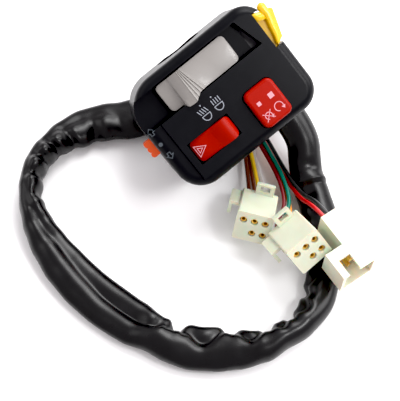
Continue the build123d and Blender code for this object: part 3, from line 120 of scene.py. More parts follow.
@dataclass(frozen=True)
class Finish:
    """A moulded or drawn finish: colour, gloss, grain and mottling.

    Scales are in cells per metre, the grain's depth is in millimetres, and octaves are noise layers.
    """

    name: str
    colour: Colour
    roughness: float = 0.4
    metallic: float = 0.0
    grain: float = 0.0
    grain_scale: float = 2500.0
    grain_depth: float = 0.02
    grain_octaves: float = 2.0
    mottle: float = 0.12
    mottle_scale: float = 120.0
    mottle_octaves: float = 4.0
    mottle_band: Span = (0.3, 0.7)
    gloss_spread: float = 0.06
    gloss_scale_share: float = 2.5
    gloss_octaves: float = 3.0
    glossiest: float = 0.02
    coat: float = 0.0
    coat_roughness: float = 0.08
    specular: float = 0.5
    subsurface: float = 0.0
    subsurface_reach: float = 0.002
    sheen: float = 0.0

    def build(self) -> bpy.types.Material:
        """Make the node material, or give the one already made.

        Returns:
            The material.
        """
        title = f"{self.name}_finish"
        known = bpy.data.materials.get(title)
        if known is not None:
            return known
        material = bpy.data.materials.new(title)
        material.use_nodes = True
        tree = material.node_tree
        shader = tree.nodes["Principled BSDF"]
        shader.inputs["Metallic"].default_value = self.metallic
        shader.inputs["Specular IOR Level"].default_value = self.specular
        shader.inputs["Coat Weight"].default_value = self.coat
        shader.inputs["Coat Roughness"].default_value = self.coat_roughness
        shader.inputs["Subsurface Weight"].default_value = self.subsurface
        shader.inputs["Subsurface Scale"].default_value = self.subsurface_reach
        shader.inputs["Sheen Weight"].default_value = self.sheen
        place = tree.nodes.new("ShaderNodeTexCoord")
        self._colour(tree, shader, place)
        self._gloss(tree, shader, place)
        if self.grain > 0:
            self._grain(tree, shader, place)
        return material

    def _noise(
        self, tree: bpy.types.NodeTree, place: bpy.types.Node, scale: float, octaves: float
    ) -> bpy.types.Node:
        """A noise texture in object space.

        Args:
            tree: the material's nodes.
            place: the texture coordinates.
            scale: cells per metre.
            octaves: how many finer layers it holds.

        Returns:
            The texture node.
        """
        texture = tree.nodes.new("ShaderNodeTexNoise")
        texture.inputs["Scale"].default_value = scale
        texture.inputs["Detail"].default_value = octaves
        tree.links.new(place.outputs["Object"], texture.inputs["Vector"])
        return texture

    def _colour(self, tree: bpy.types.NodeTree, shader: bpy.types.Node, place: bpy.types.Node) -> None:
        """Mottle the base colour.

        Args:
            tree: the material's nodes.
            shader: the surface shader.
            place: the texture coordinates.
        """
        texture = self._noise(tree, place, self.mottle_scale, self.mottle_octaves)
        ramp = tree.nodes.new("ShaderNodeValToRGB")
        low = [channel * (1 - self.mottle) for channel in self.colour]
        high = [min(1.0, channel * (1 + self.mottle)) for channel in self.colour]
        for stop, position, colour in zip(ramp.color_ramp.elements, self.mottle_band, (low, high)):
            stop.position = position
            stop.color = (*colour, 1)
        tree.links.new(texture.outputs["Fac"], ramp.inputs["Fac"])
        tree.links.new(ramp.outputs["Color"], shader.inputs["Base Color"])

    def _gloss(self, tree: bpy.types.NodeTree, shader: bpy.types.Node, place: bpy.types.Node) -> None:
        """Vary the roughness a little.

        Args:
            tree: the material's nodes.
            shader: the surface shader.
            place: the texture coordinates.
        """
        texture = self._noise(tree, place, self.mottle_scale * self.gloss_scale_share, self.gloss_octaves)
        spread = tree.nodes.new("ShaderNodeMapRange")
        spread.inputs["To Min"].default_value = max(self.glossiest, self.roughness - self.gloss_spread)
        spread.inputs["To Max"].default_value = self.roughness + self.gloss_spread
        tree.links.new(texture.outputs["Fac"], spread.inputs["Value"])
        tree.links.new(spread.outputs["Result"], shader.inputs["Roughness"])

    def _grain(self, tree: bpy.types.NodeTree, shader: bpy.types.Node, place: bpy.types.Node) -> None:
        """Fine moulded grain as bump.

        Args:
            tree: the material's nodes.
            shader: the surface shader.
            place: the texture coordinates.
        """
        texture = self._noise(tree, place, self.grain_scale, self.grain_octaves)
        bump = tree.nodes.new("ShaderNodeBump")
        bump.inputs["Strength"].default_value = self.grain
        bump.inputs["Distance"].default_value = self.grain_depth * MM
        tree.links.new(texture.outputs["Fac"], bump.inputs["Height"])
        tree.links.new(bump.outputs["Normal"], shader.inputs["Normal"])


class Finishes:
    """Every finish of the cluster and its table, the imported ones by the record's slot name."""

    housing = Finish(
        "housing_plastic", (0.0058, 0.0061, 0.0075), 0.36, grain=0.3, grain_scale=3800.0, specular=0.17)
    zinc = Finish("dark_zinc", (0.10, 0.10, 0.11), 0.5, metallic=0.6, grain=0.3, grain_scale=1500.0)
    grey = Finish("grey_plastic", (0.212, 0.199, 0.188), 0.36, grain=0.12, mottle=0.03, coat=0.1)
    black = Finish("black_plastic", (0.03, 0.03, 0.03), 0.35, grain=0.1)
    yellow = Finish("yellow_plastic", (0.75, 0.45, 0.006), 0.28, mottle=0.04, coat=0.3, subsurface=0.06)
    red = Finish("red_plastic", (0.30, 0.009, 0.004), 0.36, mottle=0.05, specular=0.14, subsurface=0.04)
    orange = Finish("orange_plastic", (0.95, 0.10, 0.002), 0.3, mottle=0.04, coat=0.3, subsurface=0.06)
    body = Finish("switch_body", (0.06, 0.06, 0.065), 0.5, grain=0.2)
    board = Finish("contact_board", (0.32, 0.19, 0.09), 0.5, grain=0.25, grain_scale=900.0, mottle=0.25)
    brass = Finish("contact_brass", (0.78, 0.56, 0.24), 0.28, metallic=1.0, grain=0.1)
    terminal = Finish("terminal_brass", (0.95, 0.52, 0.12), 0.36, metallic=0.6, grain=0.2, mottle=0.3)
    steel = Finish("steel", (0.56, 0.56, 0.58), 0.3, metallic=1.0, grain=0.15)
    spring = Finish("spring_steel", (0.45, 0.45, 0.47), 0.28, metallic=1.0)
    rubber = Finish("grommet_rubber", (0.018, 0.018, 0.018), 0.6, grain=0.3, sheen=0.1)
    vinyl = Finish(
        "sleeve_vinyl", (0.003, 0.003, 0.0035), 0.29, grain=0.12, grain_scale=900.0, specular=0.36,
        mottle=0.3, gloss_spread=0.05)
    nylon = Finish(
        "nylon", (0.58, 0.61, 0.48), 0.33, grain=0.08, mottle=0.04, subsurface=0.5, subsurface_reach=0.004)
    print_white = Finish("pad_print", (0.25, 0.27, 0.31), 0.55, mottle=0.1, mottle_scale=900.0)
    print_dim = Finish("pad_print_dim", (0.07, 0.085, 0.10), 0.55, mottle=0.1, mottle_scale=900.0)
    print_pink = Finish("pad_print_warm", (0.60, 0.26, 0.30), 0.5, mottle=0.1, mottle_scale=900.0)

    table = Finish("table_top", (0.95, 0.95, 0.955), 0.55, mottle=0.0, specular=0.2)

    insulation = {
        "brown": Finish("insulation_brown", (0.10, 0.022, 0.014), 0.35, coat=0.2),
        "tan": Finish("insulation_tan", (0.20, 0.06, 0.03), 0.35, coat=0.2),
        "yellow": Finish("insulation_yellow", (0.72, 0.46, 0.03), 0.32, coat=0.2),
        "white": Finish("insulation_white", (0.55, 0.53, 0.50), 0.35, coat=0.2),
        "maroon": Finish("insulation_maroon", (0.18, 0.012, 0.016), 0.33, coat=0.2),
        "orange": Finish("insulation_orange", (0.95, 0.34, 0.03), 0.32, coat=0.2),
        "green": Finish("insulation_green", (0.006, 0.17, 0.12), 0.33, coat=0.2),
        "red": Finish("insulation_red", (0.62, 0.014, 0.018), 0.3, coat=0.25),
        "black": Finish("insulation_black", (0.016, 0.016, 0.017), 0.35, coat=0.2),
    }

    slots = {
        "housing_plastic": housing,
        "dark_zinc": zinc,
        "grey_plastic": grey,
        "black_plastic": black,
        "yellow_plastic": yellow,
        "red_plastic": red,
        "orange_plastic": orange,
        "switch_body": body,
        "contact_board": board,
        "contact_brass": brass,
        "terminal_brass": terminal,
        "steel": steel,
        "spring_steel": spring,
        "grommet_rubber": rubber,
        "sleeve_vinyl": vinyl,
        "nylon": nylon,
    }

    @classmethod
    def for_slot(cls, slot: str) -> Finish:
        """The finish for a slot of the record.

        Args:
            slot: the slot's name.

        Returns:
            Its finish.
        """
        if slot.startswith("insulation_"):
            return cls.insulation[slot.removeprefix("insulation_")]
        return cls.slots[slot]


# Shared building


class Workshop:
    """Makes mesh objects and links them into the scene."""

    @staticmethod
    def mesh_object(
        name: str, shape: bmesh.types.BMesh, finish: Finish, smooth: bool = True
    ) -> bpy.types.Object:
        """Turn a bmesh into a linked, dressed object.

        Args:
            name: the piece's name.
            shape: the geometry, freed here.
            finish: its finish.
            smooth: whether faces are shaded smooth.

        Returns:
            The object.
        """
        mesh = bpy.data.meshes.new(name)
        shape.normal_update()
        shape.to_mesh(mesh)
        shape.free()
        for polygon in mesh.polygons:
            polygon.use_smooth = smooth
        mesh.materials.append(finish.build())
        piece = bpy.data.objects.new(name, mesh)
        bpy.context.scene.collection.objects.link(piece)
        return piece

    @staticmethod
    def soften(piece: bpy.types.Object, width: float, segments: int, angle: float) -> bpy.types.Modifier:
        """Round a piece's edges a little.

        Args:
            piece: the piece.
            width: the rounding's width, in millimetres.
            segments: how many facets it has.
            angle: edges sharper than this many degrees are rounded.

        Returns:
            The modifier.
        """
        bevel = piece.modifiers.new("soft_edges", "BEVEL")
        bevel.width = width * MM
        bevel.segments = segments
        bevel.limit_method = "ANGLE"
        bevel.angle_limit = math.radians(angle)
        return bevel

    @staticmethod
    def surface_of(node: str) -> BVHTree:
        """A ray-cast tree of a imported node's surface.

        Args:
            node: the node's name.

        Returns:
            The tree, in the shared frame.
        """
        mesh = frame["nodes"][node].data
        corners = [vertex.co for vertex in mesh.vertices]
        faces = [tuple(polygon.vertices) for polygon in mesh.polygons]
        return BVHTree.FromPolygons(corners, faces)


# Harness


@dataclass
class CordRoute:
    """A cord's route: a smooth line led by control points in metres, and a radius in millimetres."""

    name: str
    points: list[Vector]
    radius: float
    steps: int = 24
    round_steps: int = 6

    def curve(self, bevel: bool) -> bpy.types.Object:
        """The route as a curve object of one open spline.

        Args:
            bevel: whether the curve gets the cord's thickness.

        Returns:
            The linked curve object.
        """
        data = bpy.data.curves.new(self.name, "CURVE")
        data.dimensions = "3D"
        data.resolution_u = self.steps
        if bevel:
            data.bevel_depth = self.radius * MM
            data.bevel_resolution = self.round_steps
            data.use_fill_caps = True
        spline = data.splines.new("NURBS")
        spline.points.add(len(self.points) - 1)
        for control, place in zip(spline.points, self.points):
            control.co = (*place, 1.0)
        spline.order_u = 3
        spline.use_endpoint_u = True
        piece = bpy.data.objects.new(self.name, data)
        bpy.context.scene.collection.objects.link(piece)
        return piece

    def line(self) -> list[Vector]:
        """Points read from the route's own spline.

        Returns:
            The points along it, in order.
        """
        guide = self.curve(bevel=False)
        bpy.context.view_layer.update()
        mesh = bpy.data.meshes.new_from_object(guide.evaluated_get(bpy.context.evaluated_depsgraph_get()))
        points = [vertex.co.copy() for vertex in mesh.vertices]
        data = guide.data
        bpy.data.objects.remove(guide)
        bpy.data.curves.remove(data)
        bpy.data.meshes.remove(mesh)
        return points


@dataclass(frozen=True)
class Crease:
    """One fold pressed into the sleeve: place along and round it, depth, length, width and slant."""

    along: float
    around: float
    depth: float
    reach: float
    spread: float
    slant: float = 0.0


@dataclass
class HarnessSleeve:
    """Limp vinyl sleeve: flattened, twisted and creased along its loop.

    The mouth is in the housing's own millimetres, other places are from the foot point of the bar's
    centre, and angles round the sleeve are in radians.
    """

    mouth: Point = (30.0, 19.9, 0.0)
    exit_run: float = 11.0
    drop: Point = (42.4, -26.4, 9.4)
    height: float = 7.6
    radius: float = 7.5
    length: float = 354.9
    ring_step: float = 0.9
    ring_count: int = 90
    floor_gap: float = 0.12
    table_margin: float = 1.0
    narrowest: float = 2.0
    wall: float = 0.9
    lip_draw: float = 0.35
    lip_rings: tuple[int, ...] = (0, 2, 5)
    look_back: int = 2
    look_ahead: int = 3
    loop: list[Flat] = field(default_factory=lambda: [
        (47.4, -43.6),
        (50.2, -62.0),
        (47.5, -84.0),
        (40.5, -98.5),
        (27.0, -107.5),
        (8.0, -109.5),
        (-13.0, -105.5),
        (-36.0, -94.0),
        (-59.4, -74.7),
        (-74.0, -56.0),
        (-80.5, -38.0),
        (-78.5, -21.0),
        (-68.0, -8.5),
        (-52.0, -2.0),
        (-36.0, 2.8),
        (-20.0, 10.0),
        (-4.0, 16.0),
    ])
    # Half width, half height and inward shift of the flattened section, by distance along the sleeve
    sections: list[tuple[float, float, float, float]] = field(default_factory=lambda: [
        (0.0, 7.3, 7.3, 0.0),
        (12.0, 7.3, 7.0, 0.0),
        (30.0, 7.4, 6.0, 0.8),
        (60.0, 7.2, 6.0, 0.0),
        (85.0, 7.3, 5.8, 0.5),
        (100.0, 5.8, 6.5, 1.0),
        (110.0, 5.8, 6.4, 1.8),
        (120.0, 7.0, 6.0, 0.3),
        (130.0, 8.4, 5.2, 0.0),
        (140.0, 9.4, 4.8, -0.3),
        (150.0, 9.4, 4.8, -1.3),
        (158.0, 8.2, 5.2, -2.2),
        (166.0, 8.4, 5.3, -1.2),
        (176.0, 10.0, 4.6, -1.0),
        (188.0, 10.3, 4.4, -0.8),
        (202.0, 9.9, 4.6, -0.7),
        (214.0, 9.4, 5.0, -0.3),
        (226.0, 8.2, 5.6, 0.0),
        (236.0, 6.9, 6.5, 0.2),
        (244.0, 5.6, 7.5, 0.4),
        (254.0, 5.0, 8.0, 1.0),
        (264.0, 4.8, 8.1, 1.4),
        (272.0, 5.2, 7.8, 1.8),
        (280.0, 5.9, 7.2, 1.8),
        (288.0, 7.6, 6.2, 1.0),
        (298.0, 9.0, 5.3, 0.0),
        (308.0, 9.3, 5.1, 0.5),
        (318.0, 9.8, 5.0, 2.5),
        (330.0, 9.2, 5.3, 3.5),
        (340.0, 8.2, 5.8, 2.0),
        (355.0, 7.2, 6.6, 0.0),
    ])
    # The valley beside the sleeve's folded inner lip: distance along, angle round and depth
    valley: list[tuple[float, float, float]] = field(default_factory=lambda: [
        (20.0, 1.3, 0.0),
        (40.0, 1.3, 0.7),
        (60.0, 1.2, 1.0),
        (76.0, 0.95, 1.3),
        (86.0, 0.2, 1.3),
        (94.0, 0.95, 1.6),
        (102.0, 0.1, 1.4),
        (109.0, 0.9, 1.7),
        (116.0, 0.1, 1.5),
        (125.0, 1.0, 1.9),
        (134.0, 0.1, 1.6),
        (145.0, 1.25, 2.3),
        (154.0, 0.7, 2.1),
        (158.0, 0.05, 2.0),
        (162.0, 0.7, 1.9),
        (172.0, 1.35, 2.4),
        (190.0, 1.35, 2.0),
        (205.0, 1.2, 1.7),
        (222.0, 1.1, 1.7),
        (238.0, 1.4, 1.5),
        (250.0, 1.9, 1.2),
        (262.0, 2.0, 1.0),
        (275.0, 1.9, 1.0),
        (290.0, 1.9, 1.3),
        (305.0, 2.0, 1.1),
        (320.0, 1.9, 0.8),
        (340.0, 1.6, 0.2),
        (360.0, 1.6, 0.0),
    ])
    valley_spread: float = 0.42
    # The folds across the sleeve, on the inside of its bends
    folds: list[Crease] = field(default_factory=lambda: [
        Crease(27.0, 2.2, 1.0, 4.0, 0.8, 0.35),
        Crease(38.0, 0.9, 0.9, 4.2, 0.8, -0.3),
        Crease(52.0, 0.9, 0.8, 4.0, 0.7, 0.4),
        Crease(70.0, 0.4, 1.2, 3.4, 0.8, -0.3),
        Crease(86.0, 0.1, 2.2, 2.4, 0.8, 0.2),
        Crease(102.0, 0.0, 2.3, 2.2, 0.8, 0.2),
        Crease(116.0, 0.0, 2.3, 2.4, 0.7, -0.2),
        Crease(134.0, 0.0, 2.0, 2.8, 0.7, -0.2),
        Crease(158.0, 0.0, 3.0, 2.8, 0.8, 0.2),
        Crease(166.0, 0.8, 1.0, 2.6, 0.6, 0.5),
        Crease(250.0, 0.5, 1.9, 2.8, 1.0, -0.3),
        Crease(260.5, 0.7, 2.3, 2.3, 1.1, -0.35),
        Crease(270.0, 0.8, 2.2, 2.0, 1.0, -0.3),
        Crease(279.0, 0.8, 2.3, 2.1, 1.1, -0.35),
        Crease(289.0, 0.7, 1.9, 2.4, 1.0, -0.3),
        Crease(301.0, 0.5, 2.0, 2.8, 0.9, 0.3),
        Crease(314.0, 1.0, 1.0, 3.4, 0.7, -0.3),
    ])
    fold_end: float = 4.0
    rim_place: float = 1.6
    rim_share: float = 0.25
    wander_along: float = 0.03
    wander_around: float = 0.6
    wander_depth: float = 0.45

    def start(self) -> Vector:
        """Where the sleeve leaves the grommet."""
        return POSE.place(*self.mouth)

    def heading(self) -> Vector:
        """The bar's direction, in which the sleeve leaves."""
        return POSE.axes() @ Vector((1, 0, 0))

    def route(self) -> CordRoute:
        """The sleeve's route.

        Returns:
            The route, from the grommet to the open end.
        """
        points = [self.start(), self.start() + self.heading() * self.exit_run * MM, POSE.table(*self.drop)]
        points += [POSE.table(x, y, self.height) for x, y in self.loop]
        return CordRoute("sleeve_route", points, self.radius)

    def end(self) -> tuple[Vector, Vector]:
        """The middle of the open end, and the sleeve's heading there."""
        points = self.route().points
        return points[-1], (points[-1] - points[-2]).normalized()

    def blended(self, table: list[tuple[float, ...]], along: float) -> tuple[float, ...]:
        """A table's values at a distance along, blended between the listed ones.

        Args:
            table: rows that start with their distance along.
            along: the distance, in millimetres.

        Returns:
            The row's other values there.
        """
        for low, high in zip(table, table[1:]):
            if along <= high[0]:
                share = max(0.0, (along - low[0]) / (high[0] - low[0]))
                share = share * share * (3 - 2 * share)
                return tuple(a + (b - a) * share for a, b in zip(low[1:], high[1:]))
        return table[-1][1:]

    def pressed(self, along: float, around: float) -> float:
        """How far the wall is pressed in, in millimetres, at a place on the sleeve.

        Args:
            along: distance along the sleeve, in millimetres.
            around: angle round it, 0 to the right of travel and rising over the top.

        Returns:
            The depth, positive inwards.
        """
        depth = 0.0
        for fold in self.folds:
            gap = along - fold.along
            if abs(gap) > self.fold_end * fold.reach:
                continue
            off = math.remainder(around - fold.around - fold.slant * gap / fold.reach, 2 * math.pi)
            aside = (off / fold.spread) ** 2
            press = math.exp(-((gap / fold.reach) ** 2) - aside)
            rim_gap = (abs(gap) - self.rim_place * fold.reach) / fold.reach
            depth += fold.depth * (press - self.rim_share * math.exp(-(rim_gap**2) - aside))
        line_angle, line_depth = self.blended(self.valley, along)
        off = math.remainder(around - line_angle, 2 * math.pi)
        depth += line_depth * math.exp(-((off / self.valley_spread) ** 2))
        side, rise = math.cos(around) * self.wander_around, math.sin(around) * self.wander_around
        return depth + self.wander_depth * noise.noise(Vector((along * self.wander_along, side, rise)))

    def ring(self, along: float, centre: Vector, ahead: Vector) -> tuple[Vector, list[Vector]]:
        """One ring of the sleeve's wall.

        Args:
            along: distance along the sleeve, in millimetres.
            centre: the route's point there.
            ahead: the route's direction there.

        Returns:
            The ring's middle and its points, resting on the table where the sleeve lies.
        """
        aside = ahead.cross(Vector((0, 0, 1))).normalized()
        above = aside.cross(ahead).normalized()
        half_width, half_height, shift = self.blended(self.sections, along)
        middle = centre + aside * shift * MM
        points = []
        for index in range(self.ring_count):
            around = 2 * math.pi * index / self.ring_count
            inward = self.pressed(along, around)
            flat = Vector((half_width * math.cos(around), half_height * math.sin(around)))
            flat *= max(self.narrowest, flat.length - inward) / flat.length
            points.append(middle + (aside * flat.x + above * flat.y) * MM)
        lowest = min(point.z for point in points) - self.floor_gap * MM
        on_table = centre.z < (self.height + self.table_margin) * MM
        drop = Vector((0, 0, lowest if on_table or lowest < 0 else 0.0))
        return middle - drop, [point - drop for point in points]

    def build(self) -> bpy.types.Object:
        """Build the sleeve and ride it on the housing.

        Returns:
            The sleeve's object.
        """
        line = self.route().line()
        stations = [0.0]
        for before, after in zip(line, line[1:]):
            stations.append(stations[-1] + (after - before).length / MM)
        total = stations[-1]
        count = round(total / self.ring_step)
        shape = bmesh.new()
        rings = []
        cursor = 0
        for index in range(count + 1):
            along = total * index / count
            while cursor < len(stations) - 2 and stations[cursor + 1] < along:
                cursor += 1
            span = stations[cursor + 1] - stations[cursor]
            share = min(1.0, max(0.0, (along - stations[cursor]) / span))
            centre = line[cursor].lerp(line[cursor + 1], share)
            behind = line[max(0, cursor - self.look_back)]
            beyond = line[min(len(line) - 1, cursor + self.look_ahead)]
            middle, points = self.ring(along, centre, (beyond - behind).normalized())
            rings.append([shape.verts.new(point) for point in points])
        self._skin(shape, rings)
        piece = Workshop.mesh_object("harness_sleeve_skin", shape, Finishes.vinyl)
        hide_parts("harness_sleeve")
        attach(piece, Body.HOUSING.value)
        tuple(self.start())
        return piece

    def _skin(self, shape: bmesh.types.BMesh, rings: list[list[bmesh.types.BMVert]]) -> None:
        """Join the rings, close the end at the grommet, and turn the open end in on itself.

        Args:
            shape: the geometry.
            rings: the wall's rings, in order.
        """
        inner = []
        for back in self.lip_rings:
            ring = rings[-1 - back]
            middle = sum((vert.co for vert in ring), Vector()) / len(ring)
            wall = 1 - (self.wall if back else self.lip_draw) / self.radius
            inner.append([shape.verts.new(middle + (vert.co - middle) * wall) for vert in ring])
        full = rings + inner
        for first, second in zip(full, full[1:]):
            for index in range(self.ring_count):
                after = (index + 1) % self.ring_count
                shape.faces.new((first[index], first[after], second[after], second[index]))
        shape.faces.new(list(reversed(rings[0])))
        shape.faces.new(inner[-1])
        bmesh.ops.recalc_face_normals(shape, faces=shape.faces)


@dataclass
class PlugPose:
    """Where a connector lies: middle of its front face, mating and latch directions."""

    front: Point
    mating: Point
    latch: Point

    def place(self, x: float, y: float, z: float) -> Vector:
        """Table place, in metres, of a point in the connector's own frame, in millimetres.

        Args:
            x: ahead of the front face.
            y: across the connector.
            z: towards its latch.

        Returns:
            The point in the shared frame.
        """
        ahead = Vector(self.mating).normalized()
        up = Vector(self.latch).normalized()
        aside = up.cross(ahead).normalized()
        up = ahead.cross(aside)
        return POSE.table(*self.front) + (ahead * x + aside * y + up * z) * MM

    def ahead(self) -> Vector:
        """The mating direction."""
        return Vector(self.mating).normalized()


@dataclass
class WireBundle:
    """The nine wires from the sleeve's open end to the connectors' rears, in millimetres."""

    sleeve: HarnessSleeve
    wire_radius: float = 0.9
    step: float = 1.15
    row: float = 1.1
    lead: float = 9.0
    mitre: float = 0.72
    under_gate: Point = (18.5, -3.0, 2.3)
    side_gate: Point = (36.3, -40.5, 9.6)
    side_step: float = 0.81
    gate_across: Point = (0.77, 0.64, 0.0)
    side_across: Point = (1.0, 0.2, 0.6)
    hole_pitch: float = 4.7
    row_pitch: float = 5.8
    plug_length: float = 19.0
    header_length: float = 27.0
    tails: dict[str, float] = field(default_factory=lambda: {"a": 4.0, "b": 5.0, "c": 8.0})
    side_lag: float = 2.0
    plug_a: PlugPose = field(default_factory=lambda: PlugPose(
        (17.9, -59.0, 16.9), (-0.159, -0.812, 0.559), (0.184, 0.532, 0.825)))
    plug_b: PlugPose = field(default_factory=lambda: PlugPose(
        (40.3, -73.9, 27.0), (0.344, -0.724, 0.600), (-0.558, 0.358, 0.752)))
    header: PlugPose = field(default_factory=lambda: PlugPose(
        (60.4, -81.9, 22.2), (0.56, -0.83, 0.0), (0.0, 0.0, 1.0)))
    lengths: dict[str, float] = field(default_factory=lambda: {
        "brown": 63.8,
        "tan": 70.4,
        "yellow": 69.7,
        "white": 76.5,
        "maroon": 99.0,
        "orange": 99.5,
        "green": 100.6,
        "red": 105.5,
        "black": 109.1,
    })

    def ends(self) -> list[tuple[Vector, Vector, float, str]]:
        """Where each wire ends, in the bundle's order.

        Returns:
            The rear hole's middle, mating direction, straight tail and connector letter of each.
        """
        high, low = self.row_pitch / 2, -self.row_pitch / 2
        pitch = self.hole_pitch
        sockets = (
            ("a", self.plug_a, self.plug_length, ((-pitch, high), (0, low), (0, high), (pitch, low))),
            ("b", self.plug_b, self.plug_length, ((-pitch, high), (0, low), (0, high))),
            ("c", self.header, self.header_length, ((pitch, low), (pitch, high))),
        )
        ends = []
        for letter, plug, length, holes in sockets:
            for y, z in holes:
                ends.append((plug.place(-length, y, z), plug.ahead(), self.tails[letter], letter))
        return ends

    def route(self, index: int, name: str, end: tuple[Vector, Vector, float, str]) -> CordRoute:
        """One wire's route.

        Args:
            index: the wire's place in the bundle.
            name: its colour.
            end: where it ends.

        Returns:
            The route.
        """
        middle = (len(self.lengths) - 1) / 2
        mouth, heading = self.sleeve.end()
        aside_way = heading.cross(Vector((0, 0, 1))).normalized()
        row = self.row * (-1) ** index
        aside = (index - middle) * self.step
        start = mouth + (Vector((0, 0, row)) - aside_way * aside) * MM
        points = [start, start + heading * (self.lead + aside * self.mitre) * MM]
        points.append(self._gate(self.under_gate, self.gate_across, aside, row))
        rear, mating, tail, letter = end
        if letter != "a":
            beside = (index - middle - self.side_lag) * self.side_step
            points.append(self._gate(self.side_gate, self.side_across, beside, row))
        points += [rear - mating * tail * MM, rear]
        return CordRoute(f"wire_{name}_run", points, self.wire_radius)

    def _gate(self, gate: Point, across: Point, aside: float, row: float) -> Vector:
        """A wire's place in a gate that the bundle passes, from its place across the bundle."""
        return POSE.table(*gate) + (Vector(across) * aside + Vector((0, 0, row))) * MM

    def build(self) -> list[bpy.types.Object]:
        """Build the wires and ride them on the housing.

        Returns:
            The wires' objects.
        """
        wires = []
        for index, ((name, length), end) in enumerate(zip(self.lengths.items(), self.ends())):
            route = self.route(index, name, end)
            wire = route.curve(bevel=True)
            wire.data.materials.append(Finishes.insulation[name].build())
            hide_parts(f"wire_{name}")
            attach(wire, Body.HOUSING.value)
            wires.append(wire)
        return wires


# Caps of the controls


class HousingShape:
    """A mesh given in the housing's own millimetres."""

    edge_segments = 3
    edge_angle = 24.0

    def __init__(self) -> None:
        """Start empty."""
        self.mesh = bmesh.new()

    def ring(self, points: list[Point]) -> list[bmesh.types.BMVert]:
        """Place one ring of points.

        Args:
            points: the ring, in the housing's own millimetres.

        Returns:
            Its vertices.
        """
        return [self.mesh.verts.new(POSE.place(*point)) for point in points]

    def loft(self, rings: list[list[Point]]) -> None:
        """Join rings of equal count into a closed form with flat ends.

        Args:
            rings: the rings in order.
        """
        placed = [self.ring(points) for points in rings]
        for first, second in zip(placed, placed[1:]):
            for index in range(len(first)):
                after = (index + 1) % len(first)
                self.mesh.faces.new((first[index], first[after], second[after], second[index]))
        self.mesh.faces.new(list(reversed(placed[0])))
        self.mesh.faces.new(placed[-1])

    def block(self, low: Point, high: Point) -> None:
        """A plain box between two corners, for what stays hidden.

        Args:
            low: the corner with the lowest coordinates.
            high: the corner opposite it.
        """
        plan = ((low[0], low[1]), (high[0], low[1]), (high[0], high[1]), (low[0], high[1]))
        self.loft([[(x, y, z) for x, y in plan] for z in (low[2], high[2])])

    def piece(
        self, name: str, finish: Finish, body: Body, replaced: str, soft_edge: float
    ) -> bpy.types.Object:
        """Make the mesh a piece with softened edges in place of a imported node.

        Args:
            name: the piece's name.
            finish: its finish.
            body: the body it rides on.
            replaced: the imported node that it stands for.
            soft_edge: width of its edge rounding, in millimetres.

        Returns:
            The piece.
        """
        bmesh.ops.recalc_face_normals(self.mesh, faces=self.mesh.faces)
        piece = Workshop.mesh_object(name, self.mesh, finish)
        Workshop.soften(piece, soft_edge, self.edge_segments, self.edge_angle).harden_normals = True
        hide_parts(replaced)
        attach(piece, body.value)
        return piece


@dataclass(frozen=True)
class Station:
    """One line across a cap: its place and height at each side, and how its ends draw in or out."""

    left: float
    right: float
    high_left: float
    high_right: float
    inset: float = 0.0
    flare: float = 0.0


